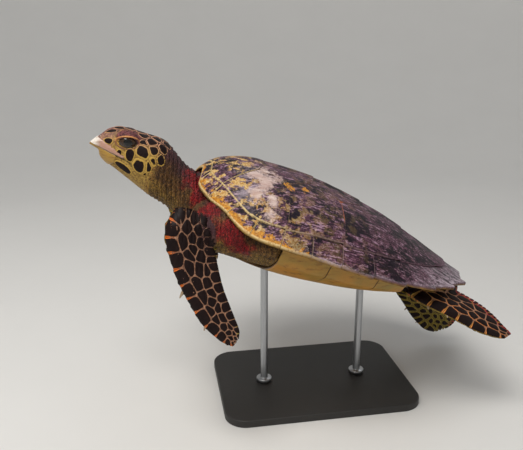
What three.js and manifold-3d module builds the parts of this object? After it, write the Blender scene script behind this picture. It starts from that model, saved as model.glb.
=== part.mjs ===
// A hawksbill sea turtle, life size, swimming with its head up, as a still model on a display stand.
// Millimetres, +Z up. The origin is the middle of the stand's underside, and the turtle faces -Y.
// The animal is shaped level, in its own frame (x to its left, y towards its tail, z up, with the side
// rim of the shell at z = 0), and one group then pitches it and lifts it over the stand.
import * as THREE from "three";
import { mergeVertices } from "three/addons/utils/BufferGeometryUtils.js";
import Module from "manifold-3d";

const wasm = await Module();
wasm.setup();

// ---------- driving dimensions ----------
// The shell is 550 long and 409 wide; `outline` below holds its plan and its two height profiles.
const PITCH = 20.2; // degrees, head up
const BODY_PLACE = [0, 36, 306]; // the animal's own origin over the stand
const GAP = 0.3; // between touching pieces

const SIDES = [
  ["left", 1],
  ["right", -1],
];

const BASE = { length: 370, width: 260, thick: 14, corner: 40, bevel: 2.5 };
const ROD = { radius: 7, sides: 16, collar: 15, collarHeight: 8 };
const PAD = { radius: 17, thick: 7 };
const ROD_PLACES = { front: -112, rear: 78 }; // along the animal, from its own origin

// ---------- colours ----------
const finish = (color, roughness, metalness = 0) =>
  new THREE.MeshStandardMaterial({ color, roughness, metalness });
const LOOKS = {
  shell: finish(0x4a2f2a, 0.45),
  rim: finish(0x7a5638, 0.5),
  plastron: finish(0xb98a3c, 0.5),
  skin: finish(0x8a5a34, 0.7),
  scales: finish(0x2a1815, 0.55),
  beak: finish(0xd8b98c, 0.4),
  claw: finish(0xcdb98f, 0.4),
  eye: finish(0x0c0a0a, 0.08),
  base: finish(0x1c1a19, 0.5),
  steel: finish(0x9a9ca0, 0.3, 1),
};

// ---------- curves ----------
// A smooth curve through [t, value, value, ...] rows, as a function of t; it is flat beyond the ends.
function through(rows) {
  const slope = (i, k) => {
    const a = rows[Math.max(i - 1, 0)];
    const b = rows[Math.min(i + 1, rows.length - 1)];
    return (b[k] - a[k]) / (b[0] - a[0]);
  };
  return (t) => {
    const clamped = THREE.MathUtils.clamp(t, rows[0][0], rows.at(-1)[0]);
    let i = rows.findIndex((row) => row[0] >= clamped);
    i = Math.max(i, 1) - 1;
    const [p, q] = [rows[i], rows[i + 1]];
    const span = q[0] - p[0];
    const f = (clamped - p[0]) / span;
    const [f2, f3] = [f * f, f * f * f];
    return p.slice(1).map((value, j) => {
      const k = j + 1;
      return (
        value * (2 * f3 - 3 * f2 + 1) +
        q[k] * (3 * f2 - 2 * f3) +
        span * (slope(i, k) * (f3 - 2 * f2 + f) + slope(i + 1, k) * (f3 - f2))
      );
    });
  };
}

const mix = (a, b, f) => a + (b - a) * f;
const mixed = (p, q, f) => p.map((c, k) => mix(c, q[k], f));
const { smoothstep } = THREE.MathUtils;
const steps = (count) => Array.from({ length: count + 1 }, (_, i) => i / count);
// The points of a bent line, with parts[i] equal steps on its i-th stretch.
const chain = (corners, parts) => [
  corners[0],
  ...parts.flatMap((n, i) =>
    steps(n)
      .slice(1)
      .map((f) => corners[i].map((c, k) => mix(c, corners[i + 1][k], f))),
  ),
];

// ---------- the shell's surfaces, over the level plan ----------
// Along the animal: half the shell's width, then the heights of its rim and of the bone of its back.
const outline = through([
  [-283, 22, 30, 38],
  [-276, 62, 23, 46],
  [-262, 99, 18, 60],
  [-240, 131, 14, 73],
  [-200, 167, -3, 84],
  [-150, 190, -2, 88],
  [-100, 201, 0, 87],
  [-50, 204.5, -1, 83],
  [8, 202.5, -2, 74],
  [72, 190, -1, 61],
  [136, 163, 1, 43],
  [187, 128, 5, 28],
  [232, 80, 8, 15],
  [258, 42, 6, 8],
  [276, 18, 4, 4],
]);
const fullness = through([
  [-270, 1.05],
  [-150, 0.9],
  [0, 0.84],
  [150, 0.95],
  [260, 1.1],
]);
const halfWidthAt = (y) => outline(y)[0];
const across = (x, y) => Math.min(Math.abs(x) / halfWidthAt(y), 1);

function domeAt(x, y) {
  const [, rim, back] = outline(y);
  const keel = 3 * Math.exp(-((x / 12) ** 2)) * smoothstep(y, -230, -80) * smoothstep(-y, -260, -150);
  return rim + (back - rim) * (1 - across(x, y) ** 2) ** fullness(y)[0] + keel;
}

// The belly's depth along the animal.
const bellyDepth = through([
  [-270, 20],
  [-235, 58],
  [-190, 74],
  [-140, 77],
  [-70, 72],
  [10, 62],
  [100, 42],
  [160, 26],
  [230, 8],
  [270, 2],
]);
const bellyAt = (x, y) => -2 - bellyDepth(y)[0] * Math.max(1 - across(x, y) ** 2.6, 0) ** 0.62;

// ---------- closed meshes ----------
function meshOf(points, faces) {
  const geometry = new THREE.BufferGeometry();
  geometry.setAttribute("position", new THREE.Float32BufferAttribute(points.flat(), 3));
  geometry.setIndex(faces.flat());
  return geometry;
}
const quad = (a, b, c, d) => [a, b, c, a, c, d];

// A plate over a grid of plan points: rows run from front to rear, and each row from right to left.
function plate(rows, topAt, bottomAt) {
  const [n, m] = [rows.length, rows[0].length];
  const points = [topAt, bottomAt].flatMap((heightAt) =>
    rows.flatMap((row, i) => row.map(([x, y], j) => [x, y, heightAt(x, y, i / (n - 1), j / (m - 1))])),
  );
  const at = (i, j, level) => level * n * m + i * m + j;
  const faces = [];
  for (let i = 0; i + 1 < n; i++)
    for (let j = 0; j + 1 < m; j++)
      faces.push(
        quad(at(i, j, 0), at(i, j + 1, 0), at(i + 1, j + 1, 0), at(i + 1, j, 0)),
        quad(at(i, j, 1), at(i + 1, j, 1), at(i + 1, j + 1, 1), at(i, j + 1, 1)),
      );
  const border = [
    ...steps(m - 1).map((f) => [0, Math.round(f * (m - 1))]),
    ...steps(n - 1).slice(1).map((f) => [Math.round(f * (n - 1)), m - 1]),
    ...steps(m - 1).slice(1).map((f) => [n - 1, Math.round((1 - f) * (m - 1))]),
    ...steps(n - 1).slice(1).map((f) => [Math.round((1 - f) * (n - 1)), 0]),
  ];
  for (let k = 0; k + 1 < border.length; k++) {
    const [p, q] = [border[k], border[k + 1]];
    faces.push(quad(at(...p, 0), at(...p, 1), at(...q, 1), at(...q, 0)));
  }
  return meshOf(points, faces);
}

// A solid through rings of the same number of points, closed with a fan at each end.
function loft(rings) {
  const count = rings[0].length;
  const middle = (ring) => [0, 1, 2].map((k) => ring.reduce((sum, p) => sum + p[k], 0) / count);
  const points = [...rings.flat(), middle(rings[0]), middle(rings.at(-1))];
  const [first, last] = [rings.length * count, rings.length * count + 1];
  const faces = [];
  for (let j = 0; j < count; j++) {
    const next = (j + 1) % count;
    for (let i = 0; i + 1 < rings.length; i++)
      faces.push(quad(i * count + j, i * count + next, (i + 1) * count + next, (i + 1) * count + j));
    faces.push([first, next, j], [last, (rings.length - 1) * count + j, (rings.length - 1) * count + next]);
  }
  return meshOf(points, faces);
}

// ---------- solids ----------
function solid(geometry, matrix = new THREE.Matrix4()) {
  const bare = new THREE.BufferGeometry();
  bare.setAttribute("position", geometry.getAttribute("position").clone());
  bare.setIndex(geometry.index);
  const merged = mergeVertices(bare.applyMatrix4(matrix), 1e-4);
  const vertProperties = merged.attributes.position.array;
  const made = (triVerts) => new wasm.Manifold(new wasm.Mesh({ numProp: 3, vertProperties, triVerts }));
  const faces = new Uint32Array(merged.index.array);
  const first = made(faces);
  return first.volume() > 0 ? first : made(faces.toReversed()); // turned the right way out
}
function geometryOf(made) {
  const { numProp, vertProperties, triVerts } = made.getMesh();
  const points = [];
  for (let i = 0; i < vertProperties.length; i += numProp) points.push([...vertProperties.slice(i, i + 3)]);
  return meshOf(points, [[...triVerts]]);
}
const largest = (made) => made.decompose().sort((a, b) => b.volume() - a.volume())[0];
const mirrored = (made) => made.mirror([1, 0, 0]);
const moved = (x, y, z) => new THREE.Matrix4().makeTranslation(x, y, z);
const blob = ([x, y, z], [rx, ry, rz], detail = 14) =>
  solid(
    new THREE.SphereGeometry(1, detail, Math.round(detail * 0.6)),
    moved(x, y, z).multiply(new THREE.Matrix4().makeScale(rx, ry, rz)),
  );

// ---------- the group ----------
const turtle = new THREE.Group();
turtle.rotation.x = -THREE.MathUtils.degToRad(PITCH);
turtle.position.set(...BODY_PLACE);
turtle.updateMatrix();
const model = new THREE.Group();
model.add(turtle);
function add(parent, name, geometry, look) {
  const mesh = new THREE.Mesh(geometry, look);
  mesh.name = name;
  parent.add(mesh);
  return mesh;
}

// ---------- scutes of the carapace ----------
const SCUTE = { front: 2, rear: 5.5, under: 2.4 }; // height over the bone at its front and rear edge
const MARGINALS = 12; // on each side, with the pair over the tail

// The rim's seams by number, from the middle of the neck (-1) to the tail (12): the outer end of the
// seam between two marginals, then its inner end, both in plan.
const rimSeams = through([
  [-1, 0, -274, 0, -262],
  [0, 44, -279, 43, -265],
  [1, 96, -263, 85, -247],
  [2, 136, -235, 126, -219],
  [3, 168, -197, 153, -187],
  [4, 190, -150, 170, -146],
  [5, 201, -101, 175, -101],
  [6, 204.5, -50, 176, -50],
  [7, 202, 8, 171, 6],
  [8, 189, 72, 157, 64],
  [9, 163, 136, 132, 118],
  [10, 128, 187, 100, 163],
  [11, 80, 232, 60, 199],
  [12, 0, 262, 0, 226],
]);
const spur = (index) => 12 * smoothstep(index, 4.5, 11); // how far a marginal's rear corner stands out
const innerSeam = (index) => rimSeams(index).slice(2);
const outerSeam = (index) => rimSeams(index).slice(0, 2);
// The inner seam in half marginals, straight between its points.
const seamLine = (from, to) => steps(Math.abs(to - from) * 2).map((f) => innerSeam(mix(from, to, f)));
const seamBetween = (index, f) => mixed(innerSeam(index + 0.5), innerSeam(index + 1), 2 * f - 1);

// The seams between vertebrals: their outer ends, then the outer corners of the middle three.
const VERTEBRAL_ENDS = [
  [50, -190],
  [48, -93],
  [43, 7],
  [32, 106],
];
const VERTEBRAL_CORNERS = [
  [80, -142],
  [76, -43],
  [62, 57],
];
const SEAM_POINT = 11; // how far the middle of a vertebral's rear edge lies behind its ends

const flip = ([x, y]) => [-x, y];
const bothSides = (line) => [...line.slice(1).reverse().map(flip), ...line];
const vertebralSeam = ([x, y], count) => bothSides(chain([[0, y + SEAM_POINT], [x, y]], [count]));
const noseSeam = bothSides([innerSeam(-1), ...seamLine(0, 1)]);
const tailSeam = bothSides(seamLine(12, 10));

// Plan points inside four edges; each edge is a list of points, and opposite ones are equally long.
function patch(front, rear, right, left) {
  const [n, m] = [right.length - 1, front.length - 1];
  return right.map((r, i) =>
    front.map((f, j) => {
      const [v, u] = [i / n, j / m];
      return [0, 1].map(
        (k) =>
          mix(f[k], rear[j][k], v) +
          mix(r[k], left[i][k], u) -
          mix(mix(front[0][k], front[m][k], u), mix(rear[0][k], rear[m][k], u), v),
      );
    }),
  );
}
// The same points, drawn in a little towards the middle so that neighbours keep their gap.
function drawnIn(rows) {
  const all = rows.flat();
  const middle = [0, 1].map((k) => all.reduce((sum, p) => sum + p[k], 0) / all.length);
  return rows.map((row) =>
    row.map((p) => {
      const distance = Math.hypot(p[0] - middle[0], p[1] - middle[1]);
      return p.map((c, k) => middle[k] + (c - middle[k]) * (1 - GAP / Math.max(distance, 20)));
    }),
  );
}
const scute = (rows) =>
  plate(
    drawnIn(rows),
    (x, y, v) => domeAt(x, y) + mix(SCUTE.front, SCUTE.rear, v),
    (x, y) => domeAt(x, y) - SCUTE.under,
  );

// Vertebrals, from the neck to the tail.
const vertebralSides = [
  chain([innerSeam(1), VERTEBRAL_ENDS[0]], [4]),
  ...VERTEBRAL_CORNERS.map((corner, i) =>
    chain([VERTEBRAL_ENDS[i], corner, VERTEBRAL_ENDS[i + 1]], [2, 2]),
  ),
  chain([VERTEBRAL_ENDS[3], innerSeam(10)], [4]),
];
vertebralSides.forEach((side, i) => {
  const tailmost = i === vertebralSides.length - 1;
  const front = i === 0 ? noseSeam : vertebralSeam(VERTEBRAL_ENDS[i - 1], tailmost ? 4 : 3);
  const rear = tailmost ? tailSeam : vertebralSeam(VERTEBRAL_ENDS[i], 3);
  add(turtle, `scute_vertebral_${i + 1}`, scute(patch(front, rear, side.map(flip), side)), LOOKS.shell);
});

// Costals: the rim seams that bound each on the outside, and the inner corners from front to rear.
const lastInner = mixed(VERTEBRAL_CORNERS[2], VERTEBRAL_ENDS[3], 0.5);
const COSTALS = [
  { from: 2.5, to: 4, inner: [innerSeam(1), VERTEBRAL_ENDS[0], VERTEBRAL_CORNERS[0]] },
  { from: 4, to: 6, inner: [VERTEBRAL_CORNERS[0], VERTEBRAL_ENDS[1], VERTEBRAL_CORNERS[1]] },
  { from: 6, to: 8, inner: [VERTEBRAL_CORNERS[1], VERTEBRAL_ENDS[2], VERTEBRAL_CORNERS[2]] },
  { from: 8, to: 10, inner: [VERTEBRAL_CORNERS[2], lastInner, VERTEBRAL_ENDS[3]] },
];
for (const [word, side] of SIDES)
  COSTALS.forEach(({ from, to, inner }, i) => {
    const outer = seamLine(from, to);
    const front = i === 0 ? seamLine(1, from) : chain([inner[0], innerSeam(from)], [4]);
    const rear = chain([inner[2], innerSeam(to)], [front.length - 1]);
    const rows = patch(front, rear, chain(inner, [outer.length - 3, 2]), outer);
    const placed = side > 0 ? rows : rows.map((row) => row.map(flip).reverse());
    add(turtle, `scute_costal_${word}_${i + 1}`, scute(placed), LOOKS.shell);
  });

// The rim: the nuchal over the neck, then the marginals in groups of three.
const RIM = { over: 1.4, inner: 11, outer: 4.5, group: 3 }; // height over the bone, depth at both edges
const RIM_STEPS = [0, 0.5, 0.92]; // along one marginal: the third point is its spur
const SPUR_SHARES = [0, 0.24, 1]; // of the spur, at each of those points
function rimRow(index, reach) {
  const [start, f] = [Math.floor(index), index % 1];
  const [inner, outer] = [f > 0.5 ? seamBetween(start, f) : innerSeam(index), outerSeam(index)];
  const length = Math.hypot(outer[0] - inner[0], outer[1] - inner[1]);
  const tip = outer.map((c, k) => c + ((c - inner[k]) * reach) / length);
  return [0, 0.5, 1].map((g) => mixed(inner, tip, g));
}
const rimPlate = (rows) =>
  plate(
    rows,
    (x, y) => domeAt(x, y) + RIM.over,
    (x, y, _, u) => domeAt(x, y) - mix(RIM.inner, RIM.outer, u),
  );
for (let from = 0; from < MARGINALS; from += RIM.group) {
  const to = from + RIM.group;
  const rows = [];
  for (let k = from; k < to; k++)
    RIM_STEPS.forEach((f, s) => rows.push(rimRow(k + f, SPUR_SHARES[s] * spur(k + 1))));
  rows.push(rimRow(to, 0));
  const left = solid(rimPlate(drawnIn(rows)));
  add(turtle, `marginals_left_${from + 1}_to_${to}`, geometryOf(left), LOOKS.rim);
  add(turtle, `marginals_right_${from + 1}_to_${to}`, geometryOf(mirrored(left)), LOOKS.rim);
}

const nuchalRows = [0, 0.5, 1].map((f) =>
  bothSides(chain([-1, 0].map((index) => mixed(outerSeam(index), innerSeam(index), f)), [2])),
);
add(
  turtle,
  "scute_nuchal",
  plate(
    drawnIn(nuchalRows),
    (x, y) => domeAt(x, y) + RIM.over,
    (x, y, v) => domeAt(x, y) - mix(RIM.outer, RIM.inner, v),
  ),
  LOOKS.rim,
);

// ---------- plastron ----------
const PLASTRON_THICK = 5.5;
// Half widths where the paired scutes meet, from the throat to the tail, with the scute that follows.
const PLASTRON_SEAMS = [
  [-224, 30, "gular"],
  [-192, 64, "humeral"],
  [-142, 100, "pectoral"],
  [-62, 112, "abdominal"],
  [24, 108, "femoral"],
  [112, 76, "anal"],
  [196, 24, null],
];
const belly = (rows) =>
  plate(
    drawnIn(rows),
    (x, y) => bellyAt(x, y) + PLASTRON_THICK,
    (x, y) => bellyAt(x, y),
  );
PLASTRON_SEAMS.slice(0, -1).forEach(([y, width, name], i) => {
  const [nextY, nextWidth] = PLASTRON_SEAMS[i + 1];
  const rows = steps(3).map((f) => {
    const halfWidth = mix(width, nextWidth, f);
    return steps(4).map((g) => [mix(-halfWidth, halfWidth, g), mix(y, nextY, f)]);
  });
  add(turtle, `plastron_${name}`, belly(rows), LOOKS.plastron);
});

// The bridges join the plastron to the rim, under the sides.
const BRIDGE_REACH = 0.972; // of the half width
const bridgeInner = chain(
  [...PLASTRON_SEAMS.slice(2, 5).map(([y, width]) => [width, y]), [88, 80]],
  [3, 3, 2],
);
const bridgeRows = bridgeInner.map(([x, y]) =>
  steps(3).map((g) => [mix(x + 0.6, halfWidthAt(y) * BRIDGE_REACH, g ** 0.8), y]),
);
const bridge = solid(belly(bridgeRows));
add(turtle, "bridge_left", geometryOf(bridge), LOOKS.plastron);
add(turtle, "bridge_right", geometryOf(mirrored(bridge)), LOOKS.plastron);

// ---------- flesh ----------
// Rings across the animal: y, top, bottom and half width of each, with the squareness of the section.
const roundedRing = ([y, top, bottom, half], count, square = 2.2) =>
  steps(count)
    .slice(1)
    .map((f) => {
      const angle = 2 * Math.PI * f;
      const [c, s] = [Math.cos(angle), Math.sin(angle)];
      const bulge = (v) => Math.sign(v) * Math.abs(v) ** (2 / square);
      return [half * bulge(c), y, mix(bottom, top, 0.5 + 0.5 * bulge(s))];
    });

// Head and neck: y, top, bottom, half width, and the squareness of the section.
const headShape = through([
  [-467, 29.5, 26.5, 2, 2],
  [-463, 36, 25.5, 5.5, 2],
  [-457, 44, 24, 10, 2],
  [-450, 54.5, 21.5, 14, 2.1],
  [-446, 60, 14, 16.5, 2.15],
  [-438, 66, 8, 20.5, 2.2],
  [-428, 70, 3.5, 25.5, 2.3],
  [-415, 72, -1, 30, 2.4],
  [-400, 72.5, -7, 34, 2.4],
  [-385, 72.5, -13, 37.5, 2.35],
  [-368, 73, -20, 40, 2.3],
  [-350, 71.5, -27, 41, 2.2],
  [-335, 64, -31, 41, 2.2],
  [-320, 53.5, -35, 41, 2.2],
  [-305, 44, -40, 43, 2.2],
  [-290, 38, -47, 49, 2.2],
  [-262, 36, -60, 60, 2.2],
  [-236, 40, -62, 66, 2.2],
]);
const HEAD_ROWS = [
  -467, -463, -457, -450, -446, -438, -427, -414, -398, -380, -363, -349, -335, -320, -303, -283, -260,
  -236,
];
const headAndNeck = solid(
  loft(HEAD_ROWS.map((y) => roundedRing([y, ...headShape(y)], 20, headShape(y)[3]))),
);

// Trunk, between the plates: its sections lie across the shell. In front of the bridges it widens to
// close the hollow behind the shoulder, and there it comes down as low as the plastron.
const TRUNK_ROWS = [-256, -238, -212, -180, -145, -80, -20, 45, 105, 160, 200, 228];
const TRUNK_SHARE = 0.8; // of the shell's half width
const AXILLA_SHARE = 0.94;
const axillaAt = (y) => smoothstep(y, -212, -160) * (1 - smoothstep(y, -128, -80));
const trunkFloor = (y) => mix(3, 11, smoothstep(y, -128, -80)); // over the underside
const trunkRing = (y) => {
  const half = halfWidthAt(y) * mix(TRUNK_SHARE, AXILLA_SHARE, axillaAt(y));
  const over = steps(5).map((f) => [mix(half, -half, f), y, 0]);
  const top = over.map(([x]) => [x, y, domeAt(x, y) - mix(12, 20, smoothstep(across(x, y), 0.5, 0.79))]);
  const under = over.toReversed().map(([x]) => {
    return [x, y, Math.min(bellyAt(x, y) + trunkFloor(y), domeAt(x, y) - 22)];
  });
  return [...top, ...under];
};
const trunk = solid(loft(TRUNK_ROWS.map(trunkRing)));

// A limb's blade: its leading and trailing edge at each station, then its thickness there.
function blade(stations) {
  const points = stations.map((row) => row.map((v) => (Array.isArray(v) ? new THREE.Vector3(...v) : v)));
  const middle = points.map(([lead, trail]) => lead.clone().lerp(trail, 0.5));
  const rings = points.map(([lead, trail, thick], i) => {
    const along = middle[Math.min(i + 1, middle.length - 1)].clone().sub(middle[Math.max(i - 1, 0)]);
    const normal = along.cross(trail.clone().sub(lead)).normalize();
    return steps(14)
      .slice(1)
      .map((f) => {
        const angle = 2 * Math.PI * f;
        const place = 0.5 - 0.5 * Math.cos(angle);
        const height = 0.5 * thick * Math.sin(angle) * (1.15 - 0.75 * place); // the leading edge is the thick one
        return lead.clone().lerp(trail, place).addScaledVector(normal, height).toArray();
      });
  });
  return solid(loft(rings));
}
const RIGHT_LAG = 8; // the right front flipper beats this far behind the left one
const frontStations = [
  [[132, -314, -6], [122, -270, -4], 30],
  [[145, -321, -30], [136, -252, -22], 37],
  [[152, -314, -57], [146, -240, -41], 31],
  [[158, -301, -77], [152, -232, -55], 25],
  [[166, -279, -107], [160, -224, -70], 20],
  [[174, -256, -130], [168, -208, -96], 16],
  [[183, -227, -156], [176, -189, -120], 13],
  [[188, -203, -169], [182, -175, -137], 10],
  [[192, -181, -177], [187, -164, -151], 7],
  [[194, -166, -177], [190, -160, -164], 4],
];
const FRONT_FLIPPERS = {
  left: frontStations,
  right: frontStations.map(([lead, trail, thick]) => [
    ...[lead, trail].map(([x, y, z]) => [-x, y + RIGHT_LAG, z]),
    thick,
  ]),
};
// The rear flippers differ: the left one trails behind, and the right one hangs down as a rudder.
const REAR_FLIPPERS = {
  left: [
    [[104, 86, -26], [60, 160, -4], 32],
    [[128, 111, -32], [80, 187, -7], 27],
    [[148, 134, -37], [92, 211, -8], 22],
    [[163, 168, -39], [104, 236, -11], 17],
    [[170, 200, -43], [116, 264, -16], 13],
    [[170, 238, -50], [126, 290, -25], 10],
    [[166, 280, -53], [138, 313, -37], 7],
    [[160, 309, -53], [148, 328, -44], 4],
  ],
  right: [
    [[-62, 158, -46], [-60, 232, -16], 30],
    [[-78, 194, -82], [-74, 283, -46], 24],
    [[-90, 238, -113], [-86, 338, -68], 19],
    [[-101, 281, -143], [-96, 374, -95], 14],
    [[-109, 321, -162], [-104, 387, -125], 9],
    [[-113, 351, -166], [-110, 380, -146], 5],
  ],
};

// Room for the shell: everything over its underside and under the inside of the plastron goes.
const underRim = (x, y) => {
  const reach = across(x, y);
  return mix(7, mix(RIM.inner, RIM.outer, smoothstep(reach, 0.85, 1)) + 3.2, smoothstep(reach, 0.62, 0.76));
};
const SHELL_ROWS = [-282, -274, -266, ...TRUNK_ROWS, 252, 275];
const overShell = plate(
  SHELL_ROWS.map((y) => steps(8).map((f) => [mix(-1.04, 1.04, f) * halfWidthAt(y), y])),
  () => 160,
  (x, y) => domeAt(x, y) - underRim(x, y),
);
const underPlates = [
  PLASTRON_SEAMS.map(([y, width]) => steps(4).map((f) => [mix(-width - 0.5, width + 0.5, f), y])),
  bridgeRows.map((row) => [row[0], row[2], row[3]]),
  bridgeRows.map((row) => [row[0], row[2], row[3]].map(flip)),
].map((rows) => plate(rows, (x, y) => bellyAt(x, y) + PLASTRON_THICK + 2.2, () => -200));
const shellRoom = [overShell, ...underPlates].map((geometry) => solid(geometry));
const shellPlates = turtle.children.flatMap(({ name, geometry }) => {
  const made = solid(geometry);
  const drop = /plastron|bridge/.test(name) ? GAP : -GAP;
  return [made, made.translate([0, 0, drop]), made.scale([1.003, 1.003, 1])];
});
const joined = (...solids) => wasm.Manifold.union(solids);
const fitted = (made) => largest(wasm.Manifold.difference([made, ...shellRoom, ...shellPlates]));
const smoothed = (made, tolerance = 0.2) => geometryOf(largest(made.simplify(tolerance)));

const bothOf = (made) => [made, mirrored(made)];
const shoulder = blob([98, -222, -18], [60, 62, 44], 12);
const hip = blob([72, 168, -8], [52, 64, 28], 10);
const body = fitted(joined(trunk, headAndNeck, ...bothOf(shoulder), ...bothOf(hip)));

// The head and neck come off at planes, each side of the cut losing half of the gap.
function cut(made, [y, z], lean) {
  const normal = new THREE.Vector3(0, -1, lean).normalize();
  const offset = normal.y * y + normal.z * z;
  const ahead = made.trimByPlane(normal.toArray(), offset + GAP / 2);
  const behind = made.trimByPlane(normal.clone().negate().toArray(), GAP / 2 - offset);
  return [ahead, behind].map(largest);
}
const [wholeHead, headless] = cut(body, [-352, 20], 0.12);
const [neck, rawTorso] = cut(headless, [-290, 0], 0.1);
const torso = fitted(rawTorso.simplify(1.6));
add(turtle, "neck", smoothed(neck), LOOKS.skin);
add(turtle, "trunk", geometryOf(torso), LOOKS.skin);

// Pieces of the head, cut by prisms that run across it; each is given by corners as y, z.
const prism = (corners, grow = 0) => {
  const middle = [0, 1].map((k) => corners.reduce((sum, p) => sum + p[k], 0) / corners.length);
  const ring = corners.map((p) => {
    const reach = Math.hypot(p[0] - middle[0], p[1] - middle[1]);
    return p.map((c, k) => c + ((c - middle[k]) * grow) / reach);
  });
  return solid(loft([-70, 70].map((x) => ring.map(([y, z]) => [x, y, z]))));
};
const split = (made, corners) => [
  largest(made.intersect(prism(corners))),
  largest(made.subtract(prism(corners, GAP * 1.6))),
];
const MOUTH = [
  [-480, 31],
  [-450, 28.5],
  [-408, 24.5],
];
const [wholeJaw, cranium] = split(wholeHead, [...MOUTH, [-376, -27], [-376, -70], [-480, -70]]);
const [beakUpper, face] = split(cranium, [
  [-480, 50.5],
  [-458, 43.5],
  [-405, 28],
  [-405, 10],
  [-480, 10],
]);
const [beakLower, jaw] = split(wholeJaw, [
  [-480, 45],
  [-420, 45],
  [-420, 12],
  [-437, -6],
  [-437, -40],
  [-480, -40],
]);

const EYE = { at: [19, -408, 53], radius: 15.6 };
const lid = blob([20, -407.5, 55.5], [17.4, 20.5, 15.5], 16);
const opening = blob([41, -408.5, 52], [16, 16, 10.4]);
const eyeball = (radius) => blob(EYE.at, [radius, radius, radius]);
const eye = eyeball(EYE.radius);
const socket = eyeball(EYE.radius + GAP);
const opened = joined(face, ...bothOf(lid)).subtract(joined(...bothOf(opening), ...bothOf(socket)));
add(turtle, "head", smoothed(opened, 0.6), LOOKS.skin);
add(turtle, "jaw", smoothed(jaw), LOOKS.skin);
add(turtle, "beak_upper", smoothed(beakUpper), LOOKS.beak);
add(turtle, "beak_lower", smoothed(beakLower), LOOKS.beak);
add(turtle, "eye_left", geometryOf(eye), LOOKS.eye);
add(turtle, "eye_right", geometryOf(mirrored(eye)), LOOKS.eye);

// Limbs and tail begin where they leave the body.
const bodyRoom = joined(torso, neck)
  .translate([0, 15, 0])
  .scale([1.003, 1.003, 1.006])
  .translate([0, -15, 0]);
const limb = (made) => largest(fitted(made.simplify(0.8)).subtract(joined(torso, bodyRoom)));
const TAIL = [
  [200, -2, -34, 17],
  [228, -6, -32, 14],
  [254, -12, -30, 9.5],
  [272, -17, -28, 5],
  [281, -20, -25, 2],
];
const arm = (stations, side, back) =>
  limb(joined(blade(stations), blob([side * 122, -273 + back, -24], [28, 39, 24])));
const LIMBS = {
  front_flipper_left: { made: arm(FRONT_FLIPPERS.left, 1, 0), stations: FRONT_FLIPPERS.left },
  front_flipper_right: { made: arm(FRONT_FLIPPERS.right, -1, RIGHT_LAG), stations: FRONT_FLIPPERS.right },
  rear_flipper_left: { made: limb(blade(REAR_FLIPPERS.left)), stations: REAR_FLIPPERS.left },
  rear_flipper_right: { made: limb(blade(REAR_FLIPPERS.right)), stations: REAR_FLIPPERS.right },
};
add(turtle, "tail", geometryOf(limb(solid(loft(TAIL.map((row) => roundedRing(row, 12)))))), LOOKS.skin);

// Two claws stand on the leading edge of every limb.
const CLAWS = {
  front: [
    { station: 4.6, length: 13, radius: 3.6 },
    { station: 6.4, length: 8, radius: 2.6 },
  ],
  rear: [
    { station: 2.4, length: 9, radius: 2.8 },
    { station: 3.4, length: 6.5, radius: 2.2 },
  ],
};
function clawOn(stations, { station, length, radius }) {
  const [i, f] = [Math.floor(station), station % 1];
  const edge = (k, side) => new THREE.Vector3(...stations[k][side]);
  const at = edge(i, 0).lerp(edge(i + 1, 0), f);
  const out = at.clone().sub(edge(i, 1).lerp(edge(i + 1, 1), f)).normalize();
  const along = edge(i + 1, 0).sub(edge(i, 0)).normalize();
  const axis = out.addScaledVector(along, 0.55).normalize();
  const turn = new THREE.Quaternion().setFromUnitVectors(new THREE.Vector3(0, 1, 0), axis);
  const place = at.addScaledVector(axis, length / 2 - 3);
  const size = new THREE.Vector3(1, 1, 1);
  return solid(new THREE.ConeGeometry(radius, length, 9), new THREE.Matrix4().compose(place, turn, size));
}
for (const [name, { made, stations }] of Object.entries(LIMBS)) {
  add(turtle, name, geometryOf(made), LOOKS.scales);
  CLAWS[name.split("_")[0]].forEach((claw, i) => {
    const outside = largest(clawOn(stations, claw).subtract(made));
    add(turtle, `claw_${name.replace("_flipper", "")}_${i + 1}`, geometryOf(outside), LOOKS.claw);
  });
}

// ---------- stand ----------
const roundedOutline = (length, width, corner, inset) =>
  [
    [1, 1, 0],
    [-1, 1, 90],
    [-1, -1, 180],
    [1, -1, 270],
  ].flatMap(([sx, sy, start]) =>
    steps(5).map((f) => {
      const angle = THREE.MathUtils.degToRad(start + 90 * f);
      const [cx, cy] = [sx * (width / 2 - corner), sy * (length / 2 - corner)];
      return [cx + (corner - inset) * Math.cos(angle), cy + (corner - inset) * Math.sin(angle)];
    }),
  );
const baseRing = (z, inset) =>
  roundedOutline(BASE.length, BASE.width, BASE.corner, inset).map((p) => [...p, z]);
const base = loft([
  baseRing(0, 0),
  baseRing(BASE.thick - BASE.bevel, 0),
  baseRing(BASE.thick, BASE.bevel),
]);
add(model, "stand_base", geometryOf(solid(base)), LOOKS.base);

// The room of the animal's underside, cut from the tops of the rods.
const bellyPlate = plate(
  steps(12).map((f) => steps(2).map((g) => [mix(-40, 40, g), mix(-200, 160, f)])),
  () => 200,
  (x, y) => bellyAt(x, y) - GAP,
);
const bellyRoom = solid(bellyPlate, turtle.matrix);
for (const [word, along] of Object.entries(ROD_PLACES)) {
  const top = new THREE.Vector3(0, along, bellyAt(0, along)).applyMatrix4(turtle.matrix);
  const upright = (radius, from, to) =>
    solid(
      new THREE.CylinderGeometry(radius, radius, to - from, ROD.sides).rotateX(Math.PI / 2),
      moved(0, top.y, (from + to) / 2),
    );
  const floor = BASE.thick + GAP;
  const rod = joined(
    upright(ROD.radius, floor, top.z + 12),
    upright(ROD.collar, floor, floor + ROD.collarHeight),
    upright(PAD.radius, top.z - PAD.thick, top.z + 12),
  );
  add(model, `stand_rod_${word}`, geometryOf(largest(rod.subtract(bellyRoom))), LOOKS.steel);
}

export default model;
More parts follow.
